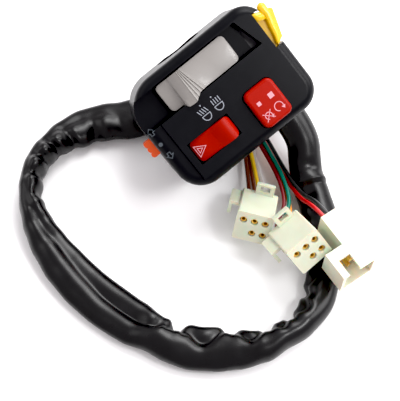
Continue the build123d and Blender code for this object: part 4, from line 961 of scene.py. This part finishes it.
@dataclass
class BeamSliderCap:
    """Long grey slider: smooth head, fan of ridges, tilted thumb facet and toe.

    Pairs such as the crest and the foot hold the left and the right side's value.
    """

    left: float = -17.6
    right: float = -4.9
    base: float = 24.9
    toe: float = -19.7
    head: float = 15.3
    end_height: float = 27.5
    corner: float = 2.0
    corner_steps: int = 5
    end_drop: float = 0.35
    soft_edge: float = 0.22
    crown: float = 0.3
    columns: int = 14
    ridges: int = 4
    ridge_rise: float = 0.42
    ridge_section: tuple[Span, ...] = ((0.0, 0.0), (0.18, 1.0), (0.62, 1.0), (0.8, 0.0))
    crest: Span = (-9.1, -9.5)
    crest_height: Span = (31.0, 31.7)
    crest_flare: float = 2.1
    flare_fade: float = 1.8
    foot: Span = (-7.0, -2.9)
    foot_height: Span = (28.4, 28.5)
    shelf: float = 30.1
    shelf_drop: float = 0.1
    stem_low: Point = (-13.2, -6.0, 20.6)
    stem_high: Point = (-8.8, 6.0, 25.4)
    # The tilted thumb facet, from the toe up to the crest
    facet: tuple[Station, ...] = (
        Station(-14.2, -14.7, 28.0, 28.0),
        Station(-13.7, -14.2, 28.2, 28.5, flare=0.3),
        Station(-13.2, -13.6, 28.7, 30.7, flare=1.2),
        Station(-12.6, -13.0, 29.1, 31.25, flare=1.9),
        Station(-11.0, -11.3, 30.1, 31.5, flare=2.1),
        Station(-9.6, -10.0, 30.9, 31.65, flare=2.1),
    )
    # The smooth head, from the ridges' foot outwards
    flat_head: tuple[Station, ...] = (
        Station(-6.2, -2.1, 28.25, 28.25),
        Station(4.0, 6.0, 28.15, 28.15),
    )

    def _ends(self, at: float, way: int) -> list[Station]:
        """Rounded plan corners at one end.

        Args:
            at: where the end is, along the slider.
            way: 1 when the slider lies beyond it, -1 when it lies before it.

        Returns:
            The lines, from the end inwards.
        """
        lines = []
        for step in range(self.corner_steps + 1):
            angle = math.pi / 2 * step / self.corner_steps
            along = at + way * self.corner * (1 - math.cos(angle))
            height = self.end_height - self.end_drop * (1 - step / self.corner_steps)
            lines.append(Station(along, along, height, height, self.corner * (1 - math.sin(angle))))
        return lines

    def stations(self) -> list[Station]:
        """Every line across the slider.

        Returns:
            The lines, from the toe to the head.
        """
        lines = self._ends(self.toe, 1) + list(self.facet)
        for index in range(self.ridges):
            for share, lift in self.ridge_section:
                lines.append(self._ramp((index + share) / self.ridges, lift))
        lines.append(Station(*self.foot, *self.foot_height))
        return lines + list(self.flat_head) + list(reversed(self._ends(self.head, -1)))

    def _ramp(self, share: float, lift: float) -> Station:
        """A line on the ridged ramp.

        Args:
            share: how far down it lies, 0 at the crest and 1 at the foot.
            lift: how much of a ridge's rise it has.

        Returns:
            The line.
        """
        rise = lift * self.ridge_rise
        places = [a + (b - a) * share for a, b in zip(self.crest, self.foot)]
        heights = [a + (b - a) * share + rise for a, b in zip(self.crest_height, self.foot_height)]
        return Station(*places, *heights, flare=self.crest_flare * max(0.0, 1 - share * self.flare_fade))

    def _across(self, line: Station) -> list[Point]:
        """The ring of a line.

        Args:
            line: the line.

        Returns:
            Its points: up the left side, over the top and down the right side.
        """
        low, high = self.left + line.inset, self.right - line.inset
        points = [(low, line.left, self.base)]
        for column in range(self.columns + 1):
            share = column / self.columns
            crown = self.crown * (1 - (2 * share - 1) ** 2)
            y = line.left + (line.right - line.left) * share
            z = line.high_left + (line.high_right - line.high_left) * share
            points.append((low + (high + line.flare - low) * share, y, z + crown))
        shelf = min(self.shelf, line.high_right - self.shelf_drop)
        points.append((high + line.flare, line.right, shelf))
        points.append((high, line.right, shelf))
        points.append((high, line.right, self.base))
        return points

    def build(self) -> bpy.types.Object:
        """Build the slider with the stem that passes the trough's floor.

        Returns:
            The slider's piece.
        """
        shape = HousingShape()
        shape.loft([self._across(line) for line in self.stations()])
        shape.block(self.stem_low, self.stem_high)
        return shape.piece("beam_slider_cap", Finishes.grey, Body.BEAM, "beam_slider", self.soft_edge)


@dataclass
class HazardRockerCap:
    """Red rocker: low end, crease and high crowned end, its corners rounded."""

    middle: Flat = (13.75, -13.35)
    pivot_z: float = 24.5
    half_width: float = 4.9
    half_length: float = 9.95
    corner: float = 2.2
    corner_steps: int = 5
    soft_edge: float = 0.5
    crown: float = 0.25
    under: float = 3.2
    profile: list[Flat] = field(default_factory=lambda: [
        (-9.95, 2.9),
        (-9.4, 3.45),
        (-8.4, 3.75),
        (-4.0, 4.5),
        (0.3, 5.3),
        (0.9, 5.6),
        (2.6, 6.6),
        (4.4, 7.5),
        (5.4, 7.85),
        (6.6, 7.95),
        (7.6, 7.75),
        (8.5, 7.1),
        (9.2, 6.3),
        (9.95, 4.9),
    ])
    columns: int = 12

    def _height(self, y: float) -> float:
        """Height of the top over the pivot.

        Args:
            y: the place along the rocker, from its middle.

        Returns:
            The height, in millimetres.
        """
        for low, high in zip(self.profile, self.profile[1:]):
            if y <= high[0]:
                return low[1] + (high[1] - low[1]) * (y - low[0]) / (high[0] - low[0])
        return self.profile[-1][1]

    def _across(self, y: float) -> list[Point]:
        """The ring at a place along the rocker.

        Args:
            y: the place, from its middle.

        Returns:
            The ring's points: up the left side, over the crown and down the right side.
        """
        beyond = max(0.0, abs(y) - (self.half_length - self.corner))
        inset = self.corner - math.sqrt(max(0.0, self.corner**2 - beyond**2))
        width = self.half_width - inset
        x, along = self.middle[0], self.middle[1] + y
        floor, top = self.pivot_z - self.under, self.pivot_z + self._height(y)
        points = [(x - width, along, floor)]
        for column in range(self.columns + 1):
            share = 2 * column / self.columns - 1
            points.append((x + share * width, along, top - self.crown * share**2))
        points.append((x + width, along, floor))
        return points

    def build(self) -> bpy.types.Object:
        """Build the rocker.

        Returns:
            The rocker's piece.
        """
        places = [point[0] for point in self.profile]
        for step in range(1, self.corner_steps):
            angle = math.pi / 2 * step / self.corner_steps
            place = self.half_length - self.corner * (1 - math.cos(angle))
            places += [place, -place]
        shape = HousingShape()
        shape.loft([self._across(y) for y in sorted(set(places))])
        return shape.piece("hazard_rocker_cap", Finishes.red, Body.HAZARD, "hazard_rocker", self.soft_edge)


@dataclass
class HornLeverBead:
    """Rounded lip along the horn lever's front edge, swelling to a bulb at its tip.

    Shares are of the way along the lip, 0 at its root and 1 at its tip. The sweep is in degrees.
    """

    root: Flat = (-0.9, 31.9)
    bend: Flat = (-3.0, 32.8)
    crown: Flat = (-12.6, 35.2)
    tip: Flat = (-15.9, 34.9)
    top: float = 29.3
    root_radius: float = 0.9
    mid_radius: float = 1.35
    tip_radius: float = 1.95
    bend_share: float = 0.15
    crown_share: float = 0.78
    mid_share: float = 0.4
    swell_share: float = 0.55
    swell_power: float = 1.6
    sink: float = 0.6
    steps: int = 12
    around: int = 20
    tip_steps: int = 5
    root_steps: int = 4
    blunt: float = 0.4
    # The rounded corner of the lever's plate, which sweeps along the notch's wall
    pivot: Flat = (1.5, 25.9)
    reach: float = 18.0
    sweep: Span = (170.5, 155.0)
    sweep_steps: int = 6
    heel: Flat = (-12.6, 29.0)
    shoulder: tuple[Flat, Flat] = ((-13.4, 34.6), (-11.0, 33.6))
    cheek_middle: Flat = (-13.8, 31.4)
    plate_top: float = 28.6
    plate_depth: float = 1.6
    lid: float = 0.25
    lid_draw: float = 0.035

    def _station(self, share: float) -> tuple[Vector, float]:
        """The lip's middle line and thickness.

        Args:
            share: how far along it, 0 at the root and 1 at the tip.

        Returns:
            The place on the face and the radius there, in millimetres.
        """
        root, bend, crown, tip = (Vector(place) for place in (self.root, self.bend, self.crown, self.tip))
        if share < self.bend_share:
            place = root.lerp(bend, share / self.bend_share)
        elif share < self.crown_share:
            place = bend.lerp(crown, (share - self.bend_share) / (self.crown_share - self.bend_share))
        else:
            place = crown.lerp(tip, (share - self.crown_share) / (1 - self.crown_share))
        swell = max(0.0, (share - self.swell_share) / (1 - self.swell_share))
        radius = self.root_radius
        radius += (self.mid_radius - self.root_radius) * min(1.0, share / self.mid_share)
        radius += (self.tip_radius - self.mid_radius) * swell**self.swell_power
        return place, radius

    def _rounded(self, end: tuple[Vector, float], way: Vector, steps: int) -> list[tuple[Vector, float]]:
        """Stations that round off one end of the lip.

        Args:
            end: the last station before the rounding.
            way: the direction out of the lip.
            steps: how many stations it has.

        Returns:
            The stations, outwards.
        """
        place, radius = end
        angles = [math.pi / 2 * step / (steps + self.blunt) for step in range(1, steps + 1)]
        return [(place + way * radius * math.sin(angle), radius * math.cos(angle)) for angle in angles]

    def _stations(self) -> list[tuple[Vector, float]]:
        """Every station of the lip.

        Returns:
            Places on the face and radii, from the root's rounding to the tip's.
        """
        lip = [self._station(step / self.steps) for step in range(self.steps + 1)]
        back = (Vector(self.root) - Vector(self.bend)).normalized()
        ahead = (Vector(self.tip) - Vector(self.crown)).normalized()
        root_end = self._rounded(lip[0], back, self.root_steps)
        return list(reversed(root_end)) + lip + self._rounded(lip[-1], ahead, self.tip_steps)

    def build(self) -> bpy.types.Object:
        """Build the lip and the corner of the lever's plate.

        Returns:
            The lip's piece.
        """
        stations = self._stations()
        rings = []
        for index, (place, radius) in enumerate(stations):
            ahead = stations[min(index + 1, len(stations) - 1)][0] - stations[max(index - 1, 0)][0]
            normal = Vector((-ahead.y, ahead.x)).normalized()
            centre_z = self.top - self.mid_radius - max(0.0, radius - self.mid_radius) * self.sink
            ring = []
            for turn in range(self.around):
                angle = 2 * math.pi * turn / self.around
                spot = place + normal * radius * math.cos(angle)
                ring.append((spot.x, spot.y, centre_z + radius * math.sin(angle)))
            rings.append(ring)
        shape = HousingShape()
        shape.loft(rings)
        bmesh.ops.recalc_face_normals(shape.mesh, faces=shape.mesh.faces)
        self._cheek(shape)
        piece = Workshop.mesh_object("horn_lever_lip", shape.mesh, Finishes.yellow)
        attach(piece, Body.HORN.value)
        return piece

    def _cheek(self, shape: HousingShape) -> None:
        """Rounded corner of the lever's plate, with a slightly smaller lid.

        Args:
            shape: the mesh that it is added to.
        """
        first, last = self.sweep
        outline = [self.heel]
        for step in range(self.sweep_steps + 1):
            angle = math.radians(first + (last - first) * step / self.sweep_steps)
            x = self.pivot[0] + self.reach * math.cos(angle)
            y = self.pivot[1] + self.reach * math.sin(angle)
            outline.append((x, y))
        outline += self.shoulder
        inner = Vector(self.cheek_middle)
        lid = [tuple(Vector(place).lerp(inner, self.lid_draw)) for place in outline]
        floor, rim = self.plate_top - self.plate_depth, self.plate_top - self.lid
        for low, high in (((outline, floor), (outline, rim)), ((outline, rim), (lid, self.plate_top))):
            shape.loft([[(x, y, z) for x, y in plan] for plan, z in (low, high)])


# Printed symbols


class PadPrint:
    """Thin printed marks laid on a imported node's surface, in face millimetres and degrees."""

    thickness = 0.05
    lift = 0.02
    cell = 0.35
    merge = 0.004
    far_above = 60.0
    face_height = 29.0
    mitre_limit = 0.35
    arc_step = 15.0
    fewest_steps = 6

    def __init__(self, name: str, node: str, body: Body, finish: Finish) -> None:
        """Start a set of marks.

        Args:
            name: the piece's name.
            node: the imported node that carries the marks.
            body: the body they ride on.
            finish: the ink.
        """
        self.name = name
        self.body = body
        self.finish = finish
        self.surface = Workshop.surface_of(node)
        self.shape = bmesh.new()
        self.down = POSE.axes() @ Vector((0, 0, -1))

    def _land(self, x: float, y: float) -> Vector:
        """The surface point under a place on the face.

        Args:
            x: along the bar, in millimetres.
            y: towards the face's upper edge.

        Returns:
            The point, lifted a little off the surface.
        """
        hit, normal, _, _ = self.surface.ray_cast(POSE.place(x, y, self.far_above), self.down)
        if hit is None:
            return POSE.place(x, y, self.face_height)
        return hit + normal * self.lift * MM

    def patch(self, corners: list[Flat]) -> None:
        """A filled quadrilateral, laid in small cells.

        Args:
            corners: its four corners, in face millimetres.
        """
        a, b, c, d = [Vector(corner) for corner in corners]
        across = max(1, math.ceil((b - a).length / self.cell))
        along = max(1, math.ceil((d - a).length / self.cell))
        grid = []
        for row in range(along + 1):
            left = a.lerp(d, row / along)
            right = b.lerp(c, row / along)
            spots = [left.lerp(right, column / across) for column in range(across + 1)]
            grid.append([self.shape.verts.new(self._land(*spot)) for spot in spots])
        for row in range(along):
            for column in range(across):
                near, far = grid[row], grid[row + 1]
                self.shape.faces.new((near[column], near[column + 1], far[column + 1], far[column]))

    def stroke(self, points: list[Flat], width: float, closed: bool = False) -> None:
        """A line of marks with mitred corners.

        Args:
            points: its corners in face millimetres.
            width: the line's width.
            closed: whether it returns to its start.
        """
        line = [Vector(point) for point in points]
        count = len(line)
        sides = []
        for index, point in enumerate(line):
            before = line[index - 1] if index or closed else None
            after = line[(index + 1) % count] if index < count - 1 or closed else None
            ways = []
            if before is not None:
                ways.append((point - before).normalized())
            if after is not None:
                ways.append((after - point).normalized())
            way = sum(ways, Vector((0, 0))).normalized()
            normal = Vector((-way.y, way.x))
            stretch = 1 / max(self.mitre_limit, normal.dot(Vector((-ways[0].y, ways[0].x))))
            sides.append((point + normal * width / 2 * stretch, point - normal * width / 2 * stretch))
        after_sides = sides[1:] + sides[:1] if closed else sides[1:]
        for (left, right), (next_left, next_right) in zip(sides, after_sides):
            self.patch([tuple(left), tuple(right), tuple(next_right), tuple(next_left)])

    def arc(self, centre: Flat, radius: float, low: float, high: float, width: float) -> None:
        """A curved line about a centre.

        Args:
            centre: its centre, in face millimetres.
            radius: the line's radius.
            low: the angle it starts at, in degrees.
            high: the angle it ends at.
            width: the line's width.
        """
        steps = max(self.fewest_steps, math.ceil(abs(high - low) / self.arc_step))
        angles = [math.radians(low + (high - low) * index / steps) for index in range(steps + 1)]
        points = [(centre[0] + radius * math.cos(a), centre[1] + radius * math.sin(a)) for a in angles]
        self.stroke(points, width)

    def disc(self, centre: Flat, radius: float) -> None:
        """A filled round dot."""
        self.arc(centre, radius / 2, 0, 360, radius)

    def finish_piece(self) -> bpy.types.Object:
        """Give the marks their thickness and hand them to their body.

        Returns:
            The piece.
        """
        bmesh.ops.remove_doubles(self.shape, verts=self.shape.verts, dist=self.merge * MM)
        self.shape.normal_update()
        piece = Workshop.mesh_object(self.name, self.shape, self.finish, smooth=False)
        solid = piece.modifiers.new("thickness", "SOLIDIFY")
        solid.thickness = self.thickness * MM
        solid.offset = 0
        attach(piece, self.body.value)
        return piece


@dataclass
class FaceMarks:
    """The marks on the face, stop button and rocker, in face millimetres."""

    line: float = 0.34
    fine_line: float = 0.289
    # Headlamp symbols: where they stand, and how far their rays droop
    lamps: tuple[tuple[Flat, float], ...] = (((3.5, -3.3), 0.0), ((3.7, -9.8), 0.7))
    bowl: Flat = (2.2, 1.9)
    bowl_shift: float = 0.4
    bowl_back: float = 0.1
    bowl_steps: int = 8
    rays: int = 4
    ray_top: float = 1.7
    ray_gap: float = 1.13
    ray_ends: Span = (0.7, 3.0)
    ticks: tuple[Flat, ...] = ((-0.5, -4.0), (-0.5, -9.6))
    tick: float = 0.4
    # Turn arrows: where they stand and which way they point, and the outline of one that points right
    arrows: tuple[tuple[float, float, int], ...] = ((-4.3, -31.9, -1), (7.6, -31.6, 1))
    arrow: tuple[Flat, ...] = (
        (0, 1.5), (1.5, 0), (0, -1.5), (0, -0.65), (-1.3, -0.65), (-1.3, 0.65), (0, 0.65))
    dot: Flat = (1.8, -31.9)
    dot_radius: float = 0.85
    # Stop button: squares and loops by place and size, and the corners of the cross
    squares: tuple[tuple[float, float, float], ...] = ((13.8, 15.5, 1.15), (13.7, 9.5, 0.85))
    loops: tuple[tuple[float, float, float], ...] = ((19.5, 15.4, 1.9), (20.0, 9.8, 1.5))
    loop_span: Span = (60.0, 340.0)
    head_back: float = 0.2
    head_reach: float = 1.1
    head_half: float = 0.9
    cross: tuple[Flat, Flat] = ((18.1, 7.8), (21.9, 11.8))
    triangle: Flat = (13.6, -20.7)
    triangle_radii: Span = (3.0, 1.3)
    triangle_angles: tuple[float, ...] = (90.0, 210.0, 330.0)

    def build(self) -> list[bpy.types.Object]:
        """Lay every mark.

        Returns:
            The sets of marks.
        """
        return [self._beam_marks(), self._turn_marks(), self._stop_marks(), self._hazard_mark()]

    def _lamp(self, marks: PadPrint, centre: Flat, droop: float) -> None:
        """A headlamp symbol: a D with four rays.

        Args:
            marks: the set that it joins.
            centre: its place.
            droop: how far the rays' ends hang down.
        """
        x, y = centre
        reach, rise = self.bowl
        bowl = []
        for step in range(self.bowl_steps + 1):
            angle = math.radians(-90 + 180 * step / self.bowl_steps)
            bowl.append((x + self.bowl_shift + reach * math.cos(angle), y + rise * math.sin(angle)))
        back = x + self.bowl_back
        marks.stroke(bowl + [(back, y + rise), (back, y - rise)], self.line, closed=True)
        near, far = self.ray_ends
        for index in range(self.rays):
            ray_y = y + self.ray_top - index * self.ray_gap
            marks.stroke([(x - near, ray_y), (x - far, ray_y - droop)], self.line)

    def _beam_marks(self) -> bpy.types.Object:
        """Headlamp symbols and position ticks beside the beam slider.

        Returns:
            The marks' piece.
        """
        marks = PadPrint("beam_marks", "front_shell", Body.HOUSING, Finishes.print_white)
        for centre, droop in self.lamps:
            self._lamp(marks, centre, droop)
        for x, y in self.ticks:
            back, point = x - self.tick, (x + self.tick, y)
            marks.patch([(back, y + self.tick), point, point, (back, y - self.tick)])
        return marks.finish_piece()

    def _turn_marks(self) -> bpy.types.Object:
        """Two arrows and a dot over the turn knob.

        Returns:
            The marks' piece.
        """
        marks = PadPrint("turn_marks", "front_shell", Body.HOUSING, Finishes.print_dim)
        for centre, height, way in self.arrows:
            outline = [(centre + way * x, height + y) for x, y in self.arrow]
            marks.stroke(outline, self.fine_line, closed=True)
        marks.disc(self.dot, self.dot_radius)
        return marks.finish_piece()

    def _stop_marks(self) -> bpy.types.Object:
        """Run and stop symbols on the stop button.

        Returns:
            The marks' piece.
        """
        marks = PadPrint("stop_marks", "kill_button_cap", Body.STOP, Finishes.print_pink)
        for x, y, half in self.squares:
            left, right, low, high = x - half, x + half, y - half, y + half
            marks.patch([(left, low), (right, low), (right, high), (left, high)])
        for x, y, radius in self.loops:
            self._loop_arrow(marks, (x, y), radius)
        (left, low), (right, high) = self.cross
        marks.stroke([(left, low), (right, high)], self.fine_line)
        marks.stroke([(left, high), (right, low)], self.fine_line)
        return marks.finish_piece()

    def _loop_arrow(self, marks: PadPrint, centre: Flat, radius: float) -> None:
        """A round arrow.

        Args:
            marks: the set that it joins.
            centre: its centre.
            radius: its radius.
        """
        low, high = self.loop_span
        marks.arc(centre, radius, low, high, self.line)
        x = centre[0] + radius * math.cos(math.radians(low))
        y = centre[1] + radius * math.sin(math.radians(low))
        back, point = x - self.head_back, (x + self.head_reach, y)
        marks.patch([(back, y + self.head_half), point, point, (back, y - self.head_half)])

    def _hazard_mark(self) -> bpy.types.Object:
        """Double triangle on the rocker's low end.

        Returns:
            The mark's piece.
        """
        marks = PadPrint("hazard_mark", "hazard_rocker", Body.HAZARD, Finishes.print_pink)
        x, y = self.triangle
        corners = [math.radians(angle) for angle in self.triangle_angles]
        for radius in self.triangle_radii:
            points = [(x + radius * math.cos(a), y + radius * math.sin(a)) for a in corners]
            marks.stroke(points, self.fine_line, closed=True)
        return marks.finish_piece()


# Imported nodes


@dataclass
class PackedNodes:
    """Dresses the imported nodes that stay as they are."""

    softened: dict[str, float] = field(default_factory=lambda: {
        "front_shell": 0.3,
        "rear_shell": 0.3,
        "turn_knob": 0.3,
        "horn_lever": 0.35,
        "connector_a": 0.45,
        "connector_b": 0.45,
        "connector_c": 0.45,
        "harness_grommet": 0.4,
        "clamp_screws": 0.2,
    })
    edge_segments: int = 2
    edge_angle: float = 35.0

    def dress(self) -> list[bpy.types.Object]:
        """Give each node its finish and soften the edges that show.

        Returns:
            The nodes.
        """
        slots = {entry["node"]: entry["material_slot"] for entry in frame["record"]["subparts"]}
        for name, node in frame["nodes"].items():
            material = Finishes.for_slot(slots[name]).build()
            if not node.data.materials:
                node.data.materials.append(material)
            for index in range(len(node.material_slots)):
                node.material_slots[index].material = material
        for name, width in self.softened.items():
            Workshop.soften(frame["nodes"][name], width, self.edge_segments, self.edge_angle)
        return list(frame["nodes"].values())


# Table and camera


@dataclass(frozen=True)
class Softbox:
    """A square soft light: its name, its place and edge in metres, and its power in watts."""

    name: str
    place: Point
    edge: float
    power: float

    def build(self, aim: Point) -> None:
        """Hang the light.

        Args:
            aim: the point it is turned to, in metres.
        """
        data = bpy.data.lights.new(self.name, "AREA")
        data.shape = "SQUARE"
        data.size = self.edge
        data.energy = self.power
        lamp = bpy.data.objects.new(self.name, data)
        bpy.context.scene.collection.objects.link(lamp)
        lamp.location = self.place
        lamp.rotation_euler = (Vector(aim) - Vector(self.place)).to_track_quat("-Z", "Y").to_euler()


@dataclass
class Studio:
    """Pale table, soft lights and the camera at the photograph's angle.

    The camera's target and distance are in millimetres, the table and the lights' aim in metres.
    """

    target: Point = (-4.4, -38.3, 0.0)
    distance: float = 470.0
    elevation: float = 65.0
    lens: float = 95.04
    sensor: float = 36.0
    table_half: float = 3.0
    black_level: float = 0.015
    white_level: float = 0.84
    surround: Colour = (1.0, 0.955, 0.975)
    surround_power: float = 0.72
    aim: Point = (0.0, -0.03, 0.0)
    lights: tuple[Softbox, ...] = (
        Softbox("overhead_light", (0.24, 0.46, 1.00), 0.44, 4.4),
        Softbox("face_light", (0.29, -0.19, 0.51), 0.12, 0.95),
        Softbox("back_light", (0.30, 0.80, 0.70), 0.80, 5.5),
        Softbox("left_light", (-0.80, 0.20, 0.75), 0.70, 1.6),
        Softbox("right_light", (0.80, 0.15, 0.60), 0.60, 4.5),
    )

    def build(self) -> None:
        """Make the camera, table, tone levels and lights."""
        self._camera()
        self._table()
        self._levels()
        self._surround()
        for light in self.lights:
            light.build(self.aim)

    def _camera(self) -> None:
        """The camera, looking along +Y and down."""
        data = bpy.data.cameras.new("camera")
        data.sensor_fit = "HORIZONTAL"
        data.sensor_width = self.sensor
        data.lens = self.lens
        camera = bpy.data.objects.new("camera", data)
        bpy.context.scene.collection.objects.link(camera)
        tilt = math.radians(self.elevation)
        away = Vector((0, -math.cos(tilt), math.sin(tilt))) * self.distance * MM
        camera.location = POSE.table(*self.target) + away
        camera.rotation_euler = (math.pi / 2 - tilt, 0, 0)
        bpy.context.scene.camera = camera

    def _table(self) -> None:
        """A plain pale table top."""
        shape = bmesh.new()
        bmesh.ops.create_grid(shape, x_segments=1, y_segments=1, size=self.table_half)
        Workshop.mesh_object("table_top", shape, Finishes.table, smooth=False)

    def _levels(self) -> None:
        """Plain tones, with the photograph's black and white points."""
        view = bpy.context.scene.view_settings
        view.view_transform = "Standard"
        view.look = "None"
        view.use_curve_mapping = True
        view.curve_mapping.black_level = (self.black_level,) * 3
        view.curve_mapping.white_level = (self.white_level,) * 3
        view.curve_mapping.update()

    def _surround(self) -> None:
        """A bright, faintly pink surround."""
        world = bpy.data.worlds.new("surround")
        world.use_nodes = True
        background = world.node_tree.nodes["Background"]
        background.inputs["Color"].default_value = (*self.surround, 1)
        background.inputs["Strength"].default_value = self.surround_power
        bpy.context.scene.world = world


def report(done: str, pieces: list[bpy.types.Object]) -> None:
    """Log each piece.

    Args:
        done: what was done to it.
        pieces: the pieces.
    """
    for piece in pieces:
        LOG.info("%s %s", done, piece.name)


def main() -> None:
    """Build every piece in order and report each one."""
    logging.basicConfig(level=logging.INFO, format="%(name)s: %(message)s")
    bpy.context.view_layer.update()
    Studio().build()
    sleeve = HarnessSleeve()
    report("made", [sleeve.build()])
    report("made", WireBundle(sleeve).build())
    report("dressed", PackedNodes().dress())
    report("made", [BeamSliderCap().build()])
    report("made", [HazardRockerCap().build()])
    report("made", [HornLeverBead().build()])
    report("made", FaceMarks().build())


if __name__ == "__main__":
    main()
